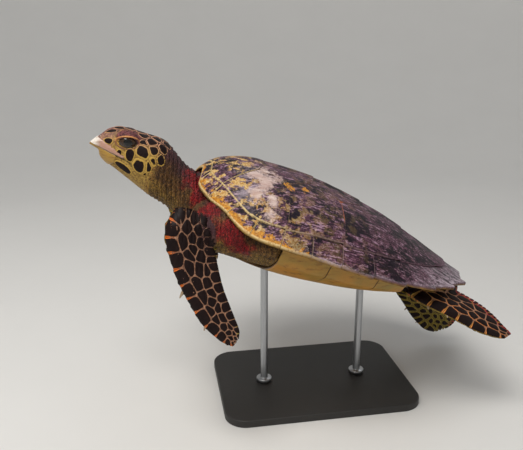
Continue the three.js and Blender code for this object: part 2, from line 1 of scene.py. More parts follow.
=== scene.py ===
"""A life-size display model of a hawksbill sea turtle, swimming, on a plain stand.

Body coordinates are millimetres: x to the animal's left, y towards the tail and z up through its
shell. The whole animal is pitched head up and carried by two short rods on a flat base.
"""

import itertools
import logging
import math
from dataclasses import dataclass, field
from enum import Enum
from typing import Callable, Optional, Sequence, Union

import bmesh
import bpy
import numpy as np
from mathutils import Matrix, Vector
from mathutils.bvhtree import BVHTree

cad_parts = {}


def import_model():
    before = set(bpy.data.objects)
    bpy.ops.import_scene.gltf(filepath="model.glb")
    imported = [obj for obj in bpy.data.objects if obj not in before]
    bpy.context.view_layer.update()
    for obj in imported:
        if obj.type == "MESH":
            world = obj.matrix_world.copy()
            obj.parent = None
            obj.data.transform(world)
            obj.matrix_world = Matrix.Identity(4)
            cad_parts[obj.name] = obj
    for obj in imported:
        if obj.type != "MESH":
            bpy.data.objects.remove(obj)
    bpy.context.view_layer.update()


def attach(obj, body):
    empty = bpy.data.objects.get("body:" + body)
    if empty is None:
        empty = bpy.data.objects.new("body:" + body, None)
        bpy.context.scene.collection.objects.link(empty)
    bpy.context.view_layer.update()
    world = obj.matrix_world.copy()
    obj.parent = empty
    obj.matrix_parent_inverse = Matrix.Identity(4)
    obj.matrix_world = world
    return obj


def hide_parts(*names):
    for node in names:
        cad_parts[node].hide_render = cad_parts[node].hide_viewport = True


log = logging.getLogger("turtle")

MM = 0.001
GAP = 0.3  # between neighbouring plates
POLE = 1e-5  # points this close, in metres, are one
GRAIN_POINTS = 12  # of each grain's ball
ATLAS_SCALE = 1.4  # of the scales' map, for each metre
ROOT = "root"
Array = np.ndarray
Object = bpy.types.Object
Mesh = bpy.types.Mesh
Socket = bpy.types.NodeSocket
Tree = bpy.types.NodeTree
Colour = tuple[float, float, float]
Value = Union[float, str, Sequence[float], Socket]
Numbers = Union[float, Array]


# ---- numbers and curves
def mix(a: Numbers, b: Numbers, f: Numbers) -> Numbers:
    """Between a and b, at the share f."""
    return a + (b - a) * f


def smooth(value: Numbers, low: Numbers, high: Numbers) -> Numbers:
    """A soft step from 0 at low to 1 at high, which may lie either way round."""
    f = np.clip((np.asarray(value, float) - low) / (high - low), 0, 1)
    return f * f * (3 - 2 * f)


def bump_at(value: Numbers, centre: Numbers, width: float) -> Numbers:
    """A soft hill of height 1 over centre, falling off over width."""
    return np.exp(-(((np.asarray(value, float) - centre) / width) ** 2))


def turns(count: int) -> Array:
    """Angles at even steps round a circle."""
    return np.linspace(0, 2 * math.pi, count + 1)[:-1]


def as_left(points: Array) -> Array:
    """Points of both sides, all taken to the left."""
    return np.concatenate([np.abs(points[..., :1]), points[..., 1:]], -1)


def unit(vectors: Array) -> Array:
    """The same directions at length 1."""
    return vectors / np.maximum(np.linalg.norm(vectors, axis=-1, keepdims=True), 1e-12)


def rgb(text: str) -> Colour:
    """A linear colour from six hex digits.

    Args:
        text: the colour as it is seen, such as "d8b05a".

    Returns:
        The three linear values.
    """
    seen = np.array([int(text[i:i + 2], 16) / 255 for i in (0, 2, 4)])
    linear = np.where(seen <= 0.04045, seen / 12.92, ((seen + 0.055) / 1.055) ** 2.4)
    return tuple(float(c) for c in linear)


class Through:
    """A smooth curve through rows of [t, value, value, ...], flat beyond its ends."""

    def __init__(self, rows: Sequence[Sequence[float]]) -> None:
        """Keeps the rows and works out the slope at each of them.

        Args:
            rows: the rows, in order of t.
        """
        table = np.array(rows, float)
        self.t, self.values = table[:, 0], table[:, 1:]
        before = np.maximum(np.arange(len(table)) - 1, 0)
        after = np.minimum(np.arange(len(table)) + 1, len(table) - 1)
        self.slopes = (self.values[after] - self.values[before]) / (self.t[after] - self.t[before])[:, None]

    def __call__(self, t: Numbers) -> Array:
        """The values at t, with one row of them for each t.

        Args:
            t: where to read the curve.

        Returns:
            One row of values for each t.
        """
        t = np.clip(np.asarray(t, float), self.t[0], self.t[-1])
        i = np.clip(np.searchsorted(self.t, t) - 1, 0, len(self.t) - 2)
        span = (self.t[i + 1] - self.t[i])[..., None]
        f = (t - self.t[i])[..., None] / span
        f2, f3 = f * f, f * f * f
        between = self.values[i] * (2 * f3 - 3 * f2 + 1) + self.values[i + 1] * (3 * f2 - 2 * f3)
        return between + span * (self.slopes[i] * (f3 - 2 * f2 + f) + self.slopes[i + 1] * (f3 - f2))


def curve(*rows: Sequence[float]) -> Through:
    """A class's own curve through rows."""
    return field(default_factory=lambda: Through(rows))


class Noise:
    """Soft value noise over space, the same on every run."""

    size = 4096
    steps = (73856093, 19349663, 83492791)

    def __init__(self, seed: int) -> None:
        """Fills the table of values from the seed."""
        self.table = np.random.default_rng(seed).random(self.size)

    def _corner(self, cell: Array) -> Array:
        """The value at whole-number corners."""
        x, y, z = (cell[..., k] * step for k, step in enumerate(self.steps))
        return self.table[(x ^ y ^ z) & (self.size - 1)]

    def once(self, points: Array) -> Array:
        """One layer, from -1 to 1, with features one unit across.

        Args:
            points: the places.

        Returns:
            The value at each place.
        """
        base = np.floor(points).astype(np.int64)
        f = points - base
        f = f * f * (3 - 2 * f)
        total = 0.0
        for corner in np.ndindex(2, 2, 2):
            share = np.prod(np.where(np.array(corner) == 1, f, 1 - f), axis=-1)
            total = total + share * self._corner(base + np.array(corner))
        return total * 2 - 1

    def at(self, points: Array, size: float, layers: int = 3) -> Array:
        """Several layers together.

        Args:
            points: the places.
            size: how far across the largest features are.
            layers: each one is half as large and half as strong as the one before.

        Returns:
            About -1 to 1 at each place.
        """
        return sum(self.once(points * (2**k / size) + 17.3 * k) / 2**k for k in range(layers)) / 1.6


@dataclass(frozen=True)
class Pose:
    """Where the animal's own frame stands in the room."""

    pitch: float = 20.2
    place: tuple[float, float, float] = (0.0, 36.0, 306.0)

    def turn(self) -> Array:
        """The rotation from body to room."""
        c, s = math.cos(math.radians(self.pitch)), math.sin(math.radians(self.pitch))
        return np.array([[1, 0, 0], [0, c, s], [0, -s, c]])

    def out(self, points: Array) -> Array:
        """Body millimetres to room metres."""
        return (np.asarray(points, float) @ self.turn().T + np.array(self.place)) * MM

    def into(self, points: Array) -> Array:
        """Room metres to body millimetres."""
        return (np.asarray(points, float) / MM - np.array(self.place)) @ self.turn()


POSE = Pose()
ROUGH = Noise(11)


# ---- the animal's own forms
class Side(Enum):
    """The animal's two sides, and the sign of x on each."""

    LEFT = 1
    RIGHT = -1

    @property
    def word(self) -> str:
        """The side's name in the parts' names."""
        return self.name.lower()

    def put(self, points: Array) -> Array:
        """Points made for the left, on this side."""
        return points * np.array([self.value, 1, 1])


@dataclass
class ShellForm:
    """The surfaces of the shell over its level plan, and the seams on them."""

    outline: Through = curve(
        [-283, 22, 30, 38], [-276, 62, 23, 46], [-262, 99, 18, 60], [-240, 131, 14, 73],
        [-200, 167, -3, 84], [-150, 190, -2, 88], [-100, 201, 0, 87], [-50, 204.5, -1, 83],
        [8, 202.5, -2, 74], [72, 190, -1, 61], [136, 163, 1, 43], [187, 128, 5, 28], [232, 80, 8, 15],
        [258, 42, 6, 8], [276, 18, 4, 4])
    fullness: Through = curve(
        [-270, 1.05], [-150, 0.9], [0, 0.84], [150, 0.95], [260, 1.1])
    belly_depth: Through = curve(
        [-270, 20], [-235, 58], [-190, 74], [-140, 77], [-70, 72], [10, 62], [100, 42], [160, 26], [230, 8],
        [270, 2])
    rim_seams: Through = curve(
        [-1, 0, -274, 0, -262], [0, 44, -279, 43, -265], [1, 96, -263, 85, -247], [2, 136, -235, 126, -219],
        [3, 168, -197, 153, -187], [4, 190, -150, 170, -146], [5, 201, -101, 175, -101],
        [6, 204.5, -50, 176, -50], [7, 202, 8, 171, 6], [8, 189, 72, 157, 64], [9, 163, 136, 132, 118],
        [10, 128, 187, 100, 163], [11, 80, 232, 60, 199], [12, 0, 262, 0, 226])

    def half_width(self, y: Numbers) -> Array:
        """Half the shell's width at y."""
        return self.outline(y)[..., 0]

    def across(self, x: Numbers, y: Numbers) -> Array:
        """How far out x lies, from 0 in the middle to 1 at the rim."""
        return np.minimum(np.abs(x) / self.half_width(y), 1)

    def dome(self, x: Numbers, y: Numbers) -> Array:
        """The height of the bone of the back.

        Args:
            x, y: the places in plan.

        Returns:
            The heights.
        """
        _, rim, back = np.moveaxis(self.outline(y), -1, 0)
        keel = 3 * np.exp(-((np.asarray(x, float) / 12) ** 2)) * smooth(y, -230, -80) * smooth(y, 260, 150)
        return rim + (back - rim) * (1 - self.across(x, y) ** 2) ** self.fullness(y)[..., 0] + keel

    def belly(self, x: Numbers, y: Numbers) -> Array:
        """The height of the underside."""
        inside = np.maximum(1 - self.across(x, y) ** 2.6, 0) ** 0.62
        return -2 - self.belly_depth(y)[..., 0] * inside

    def inner_seam(self, index: Numbers) -> Array:
        """The inner end of a seam of the rim."""
        return self.rim_seams(index)[..., 2:]

    def outer_seam(self, index: Numbers) -> Array:
        """The outer end of a seam of the rim."""
        return self.rim_seams(index)[..., :2]

    def seam_line(self, start: float, end: float) -> Array:
        """The rim's inner seam in half steps."""
        count = int(round(abs(end - start) * 2))
        return self.inner_seam(np.linspace(start, end, count + 1))

    def under_rim(self, x: Numbers, y: Numbers) -> Array:
        """How far below the dome the flesh has to stay."""
        reach = self.across(x, y)
        return mix(7, mix(11, 4.5, smooth(reach, 0.85, 1)) + 3.2, smooth(reach, 0.62, 0.76))


SHELL = ShellForm()

HEAD_SHAPE = Through([
    [-467, 29.5, 26.5, 2, 2], [-463, 36, 25.5, 5.5, 2], [-457, 44, 24, 10, 2],
    [-450, 54.5, 21.5, 14, 2.1], [-446, 60, 14, 16.5, 2.15], [-438, 66, 8, 20.5, 2.2],
    [-428, 70, 3.5, 25.5, 2.3], [-415, 72, -1, 30, 2.4], [-400, 72.5, -7, 34, 2.4],
    [-385, 72.5, -13, 37.5, 2.35], [-368, 73, -20, 40, 2.3], [-350, 71.5, -27, 41, 2.2],
    [-335, 64, -31, 41, 2.2], [-320, 53.5, -35, 41, 2.2], [-305, 44, -40, 43, 2.2],
    [-290, 38, -47, 49, 2.2], [-262, 36, -60, 60, 2.2], [-236, 40, -62, 66, 2.2]])
TAIL_SHAPE = Through([
    [200, -2, -34, 17, 2.2], [228, -6, -32, 14, 2.2], [254, -12, -30, 9.5, 2.2], [272, -17, -28, 5, 2.2],
    [281, -20, -25, 2, 2.2]])


def section_point(shape: Through, y: Numbers, around: Numbers) -> Array:
    """A point on a rounded section across the animal.

    Args:
        shape: top, bottom, half width and squareness along y.
        y: the section's place.
        around: the angle in radians, 0 on the left side and a quarter turn at the top.

    Returns:
        The point, in body millimetres.
    """
    top, bottom, half, square = np.moveaxis(shape(y), -1, 0)
    c, s = np.cos(around), np.sin(around)
    side = np.sign(c) * np.abs(c) ** (2 / square)
    up = np.sign(s) * np.abs(s) ** (2 / square)
    return np.stack([half * side, np.broadcast_to(y, side.shape), mix(bottom, top, 0.5 + 0.5 * up)], -1)


@dataclass
class Limb:
    """A flipper's blade, by its leading edge, trailing edge and thickness at each station."""

    name: str
    stations: list
    outer: int = 1  # the way from the inner face to the outer one
    full: float = 1.15
    taper: float = 0.75

    def __post_init__(self) -> None:
        """Turns the stations into smooth curves along the limb."""
        rows = [[i, *lead, *trail, thick] for i, (lead, trail, thick) in enumerate(self.stations)]
        self.curve = Through(rows)
        self.last = len(rows) - 1
        fine = np.linspace(0, self.last, 160)
        at = self.curve(fine)
        middle = (at[:, :3] + at[:, 3:6]) / 2
        steps = np.linalg.norm(np.diff(middle, axis=0), axis=1)
        self.fine, self.arc = fine, np.concatenate([[0], np.cumsum(steps)])

    @property
    def length(self) -> float:
        """The length along its middle."""
        return float(self.arc[-1])

    def station(self, along: Numbers) -> Array:
        """The station number at a length along the middle."""
        return np.interp(along, self.arc, self.fine)

    def width(self, along: Numbers) -> Array:
        """The blade's width at a length along the middle."""
        at = self.curve(self.station(along))
        return np.linalg.norm(at[..., 3:6] - at[..., :3], axis=-1)

    def _normal(self, station: Numbers) -> Array:
        """The direction across the blade's thickness.

        Args:
            station: how far along, in stations.

        Returns:
            A unit direction for each station.
        """
        before = self.curve(np.maximum(station - 0.5, 0))
        after = self.curve(np.minimum(station + 0.5, self.last))
        along = (after[..., :3] + after[..., 3:6] - before[..., :3] - before[..., 3:6]) / 2
        at = self.curve(station)
        return unit(np.cross(along, at[..., 3:6] - at[..., :3]))

    def surface(self, station: Numbers, place: Numbers, face: Numbers) -> Array:
        """A point on the blade.

        Args:
            station: how far along, in stations.
            place: 0 at the leading edge and 1 at the trailing edge.
            face: 1 on the outer face, -1 on the inner face.

        Returns:
            The point, in body millimetres.
        """
        at = self.curve(station)
        lead, trail, thick = at[..., :3], at[..., 3:6], at[..., 6]
        swell = thick * np.sqrt(np.clip(place * (1 - place), 0, 1)) * (self.full - self.taper * place)
        chord = lead + (trail - lead) * np.asarray(place)[..., None]
        return chord + self._normal(station) * (self.outer * np.asarray(face) * swell)[..., None]

    def facing(self, station: Numbers, place: Numbers, face: Numbers) -> Array:
        """The outward direction at a point on the blade.

        Args:
            station: how far along, in stations.
            place: 0 at the leading edge and 1 at the trailing edge.
            face: 1 on the outer face, -1 on the inner face.

        Returns:
            A unit direction for each point.
        """
        at = self.curve(station)
        chord = unit(at[..., 3:6] - at[..., :3])
        place = np.clip(place, 0.004, 0.996)
        root = np.sqrt(place * (1 - place))
        thick = at[..., 6]
        slope = thick * ((0.5 - place) / root * (self.full - self.taper * place) - self.taper * root)
        width = np.linalg.norm(at[..., 3:6] - at[..., :3], axis=-1)
        normal = self._normal(station) * (self.outer * np.asarray(face))[..., None]
        return unit(normal - chord * (slope / width)[..., None])


FRONT_STATIONS = [
    [[132, -314, -6], [122, -270, -4], 30],
    [[145, -321, -30], [136, -252, -22], 37],
    [[152, -314, -57], [146, -240, -41], 31],
    [[158, -301, -77], [152, -232, -55], 25],
    [[166, -279, -107], [160, -224, -70], 20],
    [[174, -256, -130], [168, -208, -96], 16],
    [[183, -227, -156], [176, -189, -120], 13],
    [[188, -203, -169], [182, -175, -137], 10],
    [[192, -181, -177], [187, -164, -151], 7],
    [[194, -166, -177], [190, -160, -164], 4],
]
RIGHT_LAG = 8.0


def other_side(stations: list, lag: float) -> list:
    """The same stations on the right, moved back by lag."""
    return [[*([-x, y + lag, z] for x, y, z in edges), thick] for *edges, thick in stations]


REAR_LEFT_STATIONS = [
    [[104, 86, -26], [60, 160, -4], 32],
    [[128, 111, -32], [80, 187, -7], 27],
    [[148, 134, -37], [92, 211, -8], 22],
    [[163, 168, -39], [104, 236, -11], 17],
    [[170, 200, -43], [116, 264, -16], 13],
    [[170, 238, -50], [126, 290, -25], 10],
    [[166, 280, -53], [138, 313, -37], 7],
    [[160, 309, -53], [148, 328, -44], 4],
]
REAR_RIGHT_STATIONS = [
    [[-62, 158, -46], [-60, 232, -16], 30],
    [[-78, 194, -82], [-74, 283, -46], 24],
    [[-90, 238, -113], [-86, 338, -68], 19],
    [[-101, 281, -143], [-96, 374, -95], 14],
    [[-109, 321, -162], [-104, 384.6, -125], 9],
    [[-113, 351, -166], [-110, 380, -146], 5],
]
LIMBS = {
    limb.name: limb
    for limb in (
        Limb("front_flipper_left", FRONT_STATIONS),
        Limb("front_flipper_right", other_side(FRONT_STATIONS, RIGHT_LAG), outer=-1),
        Limb("rear_flipper_left", REAR_LEFT_STATIONS),
        Limb("rear_flipper_right", REAR_RIGHT_STATIONS, outer=-1),
    )
}


# ---- meshes
Faces = list[tuple[int, ...]]


def grid_faces(n: int, m: int, start: int = 0, turned: bool = False, ring: bool = False) -> Faces:
    """Quads over a grid of n rows of m points.

    Args:
        n: the rows.
        m: the points of a row.
        start: the number of the first point.
        turned: True where the faces look the other way.
        ring: True where each row closes on itself.

    Returns:
        The faces.
    """
    faces = []
    for i in range(start, start + (n - 1) * m, m):
        for j in range(m if ring else m - 1):
            k = (j + 1) % m
            quad = (i + j, i + k, i + m + k, i + m + j)
            faces.append(quad[::-1] if turned else quad)
    return faces


def sheet_faces(n: int, m: int) -> Faces:
    """The faces of a closed body between two grids of n by m points, one after the other.

    Args:
        n, m: the rows of a grid, and the points of a row.

    Returns:
        Both grids' faces, and the walls between them.
    """
    ring = [i * m for i in range(n)] + [(n - 1) * m + j for j in range(1, m)]
    ring += [i * m + m - 1 for i in range(n - 2, -1, -1)] + [j for j in range(m - 2, 0, -1)]
    walls = [(a, b, b + n * m, a + n * m) for a, b in zip(ring, ring[1:] + ring[:1])]
    return grid_faces(n, m) + grid_faces(n, m, n * m, turned=True) + walls


def tube(rings: Array) -> tuple[Array, Faces]:
    """A closed mass through rings, with a point in the middle of each end.

    Args:
        rings: n rings of m points.

    Returns:
        The points and the faces.
    """
    n, m = rings.shape[:2]
    points = np.concatenate([rings.reshape(-1, 3), rings[0].mean(0)[None], rings[-1].mean(0)[None]])
    faces, last = grid_faces(n, m, ring=True), (n - 1) * m
    for j in range(m):
        k = (j + 1) % m
        faces += [(n * m, k, j), (n * m + 1, last + j, last + k)]
    return points, faces


def turned_body(rings: Sequence[Array]) -> tuple[Array, Faces]:
    """A closed body through rings, with one flat face at each end.

    Args:
        rings: the rings, each with as many points.

    Returns:
        The points and the faces.
    """
    count, total = len(rings[0]), len(rings) * len(rings[0])
    ends = [tuple(range(count))[::-1], tuple(range(total - count, total))]
    return np.concatenate(rings), grid_faces(len(rings), count, ring=True) + ends


def new_object(name: str, points: Array, faces: Faces, shaded: bool = True) -> Object:
    """A mesh object from body points, set in the room.

    Args:
        name: the object's name.
        points: the points, in body millimetres.
        faces: the faces.
        shaded: True for smooth shading.

    Returns:
        The object, at the origin with its place in its mesh.
    """
    mesh = bpy.data.meshes.new(name)
    mesh.from_pydata(POSE.out(points).tolist(), [], faces)
    mesh.update()
    return linked(name, mesh, shaded)


def linked(name: str, data: bpy.types.ID, shaded: bool = False) -> Object:
    """An object for a mesh, lamp or camera in the scene, with smooth shading if it is shaded.

    Args:
        name: its name.
        data: its mesh, lamp or camera.
        shaded: True for smooth shading of a mesh.

    Returns:
        The object.
    """
    if shaded:
        data.polygons.foreach_set("use_smooth", np.ones(len(data.polygons), bool))
    made = bpy.data.objects.new(name, data)
    bpy.context.scene.collection.objects.link(made)
    return made


def outward(made: Object, joined: float = 0.0) -> Object:
    """Turns the faces of a closed mesh outwards.

    Args:
        made: the object.
        joined: points that lie closer than this, in metres, become one, which closes poles.

    Returns:
        The same object.
    """
    work = bmesh.new()
    work.from_mesh(made.data)
    if joined:
        bmesh.ops.remove_doubles(work, verts=work.verts[:], dist=joined)
        bmesh.ops.dissolve_degenerate(work, edges=work.edges[:], dist=joined / 10)
    bmesh.ops.recalc_face_normals(work, faces=work.faces[:])
    work.to_mesh(made.data)
    work.free()
    return made


def column(rows: bpy.types.bpy_prop_collection, key: str, per: int = 1) -> Array:
    """One property of every row of a mesh's list, as rows of numbers.

    Args:
        rows: the list.
        key: the property.
        per: how many numbers it has.

    Returns:
        An array, one row for each.
    """
    whole = np.zeros(len(rows) * per, np.int32 if key.startswith("vert") else np.float32)
    rows.foreach_get(key, whole)
    return whole.reshape(-1, per)


def body_points(mesh: Mesh) -> Array:
    """A mesh's points, in body millimetres."""
    return POSE.into(column(mesh.vertices, "co", 3))


def move_points(mesh: Mesh, points: Array) -> None:
    """Sets a mesh's points from body millimetres."""
    mesh.vertices.foreach_set("co", POSE.out(points).ravel())
    mesh.update()


def evaluated(made: Object) -> Mesh:
    """A plain mesh of an object with its modifiers, and with its values.

    Args:
        made: the object.

    Returns:
        The new mesh.
    """
    graph = bpy.context.evaluated_depsgraph_get()
    shown = made.evaluated_get(graph)
    return bpy.data.meshes.new_from_object(shown, preserve_all_data_layers=True, depsgraph=graph)


def point_values(made: Object, name: str, values: Array) -> None:
    """Keeps one number, or one colour, for each point of a mesh under a name.

    Args:
        made: the object.
        name: the attribute's name.
        values: one row for each point.
    """
    values = np.asarray(values, np.float32)
    if values.ndim == 1:
        made.data.attributes.new(name, "FLOAT", "POINT").data.foreach_set("value", values)
        return
    alpha = np.ones((len(values), 1), np.float32)
    layer = made.data.attributes.new(name, "FLOAT_COLOR", "POINT")
    layer.data.foreach_set("color", np.hstack([values, alpha]).ravel())


def map_points(made: Object, name: str, places: Array) -> None:
    """Gives a mesh a UV map from one place for each of its points.

    Args:
        made: the object.
        name: the map's name.
        places: u and v for each point.
    """
    layer = made.data.uv_layers.new(name=name)
    corners = column(made.data.loops, "vertex_index")[:, 0]
    layer.data.foreach_set("uv", np.asarray(places, np.float32)[corners].ravel())


def finished(made: Object, nodes: Sequence[str], finish: bpy.types.Material) -> None:
    """Dresses a piece, lets it ride on the body and lets it stand for its CAD nodes.

    Args:
        made: the piece.
        nodes: the CAD nodes that it replaces.
        finish: its material.
    """
    made.data.materials.clear()
    made.data.materials.append(finish)
    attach(made, ROOT)
    if nodes:
        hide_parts(*nodes)
    log.info("%s: %d faces", made.name, len(made.data.polygons))


# ---- shader building
class Graph:
    """Adds nodes to a tree and joins them in one call each."""

    def __init__(self, tree: Tree) -> None:
        """Keeps the tree."""
        self.tree = tree

    def add(self, kind: str, settings: Optional[dict] = None, **inputs: Value) -> bpy.types.Node:
        """A node with its settings and inputs.

        Args:
            kind: the node's type name.
            settings: the node's own properties.
            **inputs: values or sockets, by the input's name with spaces as underscores, or by
                its number as i0, i1 and so on.

        Returns:
            The node.
        """
        node = self.tree.nodes.new(kind)
        for name, value in (settings or {}).items():
            setattr(node, name, value)
        for name, value in inputs.items():
            numbered = name[0] == "i" and name[1:].isdigit()
            self.put(node.inputs[int(name[1:]) if numbered else name.replace("_", " ")], value)
        return node

    def put(self, socket: Socket, value: Value) -> None:
        """Joins a socket to another, or sets its value, which may be a colour's six hex digits."""
        if isinstance(value, Socket):
            self.tree.links.new(value, socket)
        elif socket.type == "RGBA":
            socket.default_value = (*(rgb(value) if isinstance(value, str) else value), 1.0)
        else:
            socket.default_value = value

    def math(self, operation: str, a: Value, b: Value) -> Socket:
        """The result of one sum."""
        return self.add("ShaderNodeMath", {"operation": operation}, i0=a, i1=b).outputs[0]

    def plus(self, a: Value, b: Value) -> Socket:
        """Two values added."""
        return self.math("ADD", a, b)

    def times(self, a: Value, b: Value) -> Socket:
        """Two values multiplied."""
        return self.math("MULTIPLY", a, b)

    def blend(self, share: Value, a: Value, b: Value, way: str = "MIX") -> Socket:
        """Colour a turned into colour b by a share.

        Args:
            share: how much of b.
            a, b: the colours.
            way: how they are blended.

        Returns:
            The colour.
        """
        node = self.add("ShaderNodeMix", {"data_type": "RGBA", "blend_type": way, "clamp_factor": True})
        for index, value in ((0, share), (6, a), (7, b)):
            self.put(node.inputs[index], value)
        return node.outputs[2]

    def ramp(self, value: Value, low: float, high: float) -> Socket:
        """A soft step of a value from low to high."""
        settings = {"interpolation_type": "SMOOTHSTEP", "clamp": True}
        return self.add("ShaderNodeMapRange", settings, Value=value, From_Min=low, From_Max=high).outputs[0]

    def noise(self, vector: Value, scale: float, detail: float = 4, rough: float = 0.6) -> Socket:
        """Soft noise from 0 to 1."""
        node = self.add("ShaderNodeTexNoise", None, Vector=vector, Scale=scale, Detail=detail,
                        Roughness=rough)
        return node.outputs[0]

    def attribute(self, name: str, output: str = "Fac") -> Socket:
        """A value that the mesh keeps under a name."""
        return self.add("ShaderNodeAttribute", {"attribute_name": name}).outputs[output]

    def place(self) -> Socket:
        """Object coordinates."""
        return self.add("ShaderNodeTexCoord").outputs["Object"]

    def level(self) -> Socket:
        """Object coordinates turned so that they run along the animal."""
        turn = (math.radians(POSE.pitch), 0, 0)
        return self.add("ShaderNodeMapping", None, Vector=self.place(), Rotation=turn).outputs[0]

    def darker(self, colour: Value, by: Colour) -> Socket:
        """A colour multiplied by another."""
        return self.blend(1.0, colour, by, "MULTIPLY")

    def streaks(self, vector: Value, scale: Sequence[float], detail: float, rough: float = 0.6) -> Socket:
        """Noise with a scale of its own each way."""
        scaled = self.add("ShaderNodeMapping", None, Vector=vector, Scale=scale).outputs[0]
        return self.noise(scaled, 1.0, detail, rough)


def shared_group(name: str, inputs: dict[str, float], outputs: Sequence[str], body: Callable) -> Tree:
    """A shader group with named sockets.

    Args:
        name: the group's name.
        inputs: each input's name and its first value; the one called Vector is a vector.
        outputs: the names of the values that it gives.
        body: takes the Graph and the input sockets by name, and returns the outputs by name.

    Returns:
        The group, made once.
    """
    tree = bpy.data.node_groups.new(name, "ShaderNodeTree")
    for key, value in inputs.items():
        kind = "NodeSocketVector" if key == "Vector" else "NodeSocketFloat"
        socket = tree.interface.new_socket(key, in_out="INPUT", socket_type=kind)
        if key != "Vector":
            socket.default_value = value
    for key in outputs:
        tree.interface.new_socket(key, in_out="OUTPUT", socket_type="NodeSocketFloat")
    graph = Graph(tree)
    entry, end = graph.add("NodeGroupInput"), graph.add("NodeGroupOutput")
    for key, socket in body(graph, {s.name: s for s in entry.outputs}).items():
        graph.put(end.inputs[key], socket)
    return tree


class SharedLooks:
    """The shader groups that several finishes use."""

    def __init__(self) -> None:
        """Builds each group once."""
        inputs = {"Vector": 0, "Scale": 30, "Low": 0.4, "High": 0.6, "Wander": 0.5}
        self.mottle = shared_group("mottle", inputs, ["Mask"], self._mottle)
        inputs = {"Vector": 0, "Scale": 400, "Strength": 1.0}
        self.grain = shared_group("fine grain", inputs, ["Height"], self._grain)

    @staticmethod
    def _mottle(g: Graph, at: dict) -> dict:
        """Patches with ragged borders.

        Args:
            g: the group's Graph.
            at: its inputs by name.

        Returns:
            Its outputs by name.
        """
        bend = g.add("ShaderNodeTexNoise", None, Vector=at["Vector"], Scale=55.0, Detail=3.0)
        shift = g.add("ShaderNodeVectorMath", {"operation": "SCALE"}, Vector=bend.outputs[1])
        g.put(shift.inputs["Scale"], g.times(at["Wander"], 0.02))
        moved = g.add("ShaderNodeVectorMath", {"operation": "ADD"}, i0=at["Vector"], i1=shift.outputs[0])
        patch = g.noise(moved.outputs[0], at["Scale"], 5, 0.62)
        return {"Mask": g.ramp(patch, at["Low"], at["High"])}

    @staticmethod
    def _grain(g: Graph, at: dict) -> dict:
        """Fine unevenness of a surface.

        Args:
            g: the group's Graph.
            at: its inputs by name.

        Returns:
            Its outputs by name.
        """
        fine = g.noise(at["Vector"], at["Scale"], 4, 0.5)
        coarse = g.noise(at["Vector"], g.times(at["Scale"], 0.2), 2, 0.5)
        both = g.plus(g.times(fine, 0.5), coarse)
        return {"Height": g.times(both, at["Strength"])}

    @staticmethod
    def use(g: Graph, tree: Tree, **inputs: Value) -> Socket:
        """One of the groups placed in a material, with its own values."""
        return g.add("ShaderNodeGroup", {"node_tree": tree}, **inputs).outputs[0]


@dataclass(frozen=True)
class Finish:
    """The even values of a finish: its gloss, clear coat, and the depth of its relief."""

    name: str
    roughness: float = 0.5
    coat: float = 0.0
    coat_roughness: float = 0.2
    shine: float = 0.5
    relief: float = 0.0
    depth: float = 0.0005
    metallic: float = 0.0

    def material(self, paint: Callable) -> bpy.types.Material:
        """Builds the material.

        Args:
            paint: takes the Graph and returns its colour, and optionally a roughness and a height.

        Returns:
            The material.
        """
        made = bpy.data.materials.new(self.name)
        made.use_nodes = True
        g = Graph(made.node_tree)
        shader = made.node_tree.nodes["Principled BSDF"]
        even = {"Roughness": self.roughness, "Metallic": self.metallic, "Specular IOR Level": self.shine,
                "Coat Weight": self.coat, "Coat Roughness": self.coat_roughness}
        for key, value in even.items():
            shader.inputs[key].default_value = value
        painted = paint(g)
        g.put(shader.inputs["Base Color"], painted["colour"])
        made.diffuse_color = (0.3, 0.25, 0.2, 1)
        if "roughness" in painted:
            g.put(shader.inputs["Roughness"], painted["roughness"])
        if "height" in painted and self.relief:
            bump = g.add("ShaderNodeBump", None, Strength=self.relief, Distance=self.depth,
                         Height=painted["height"])
            g.put(shader.inputs["Normal"], bump.outputs[0])
        return made


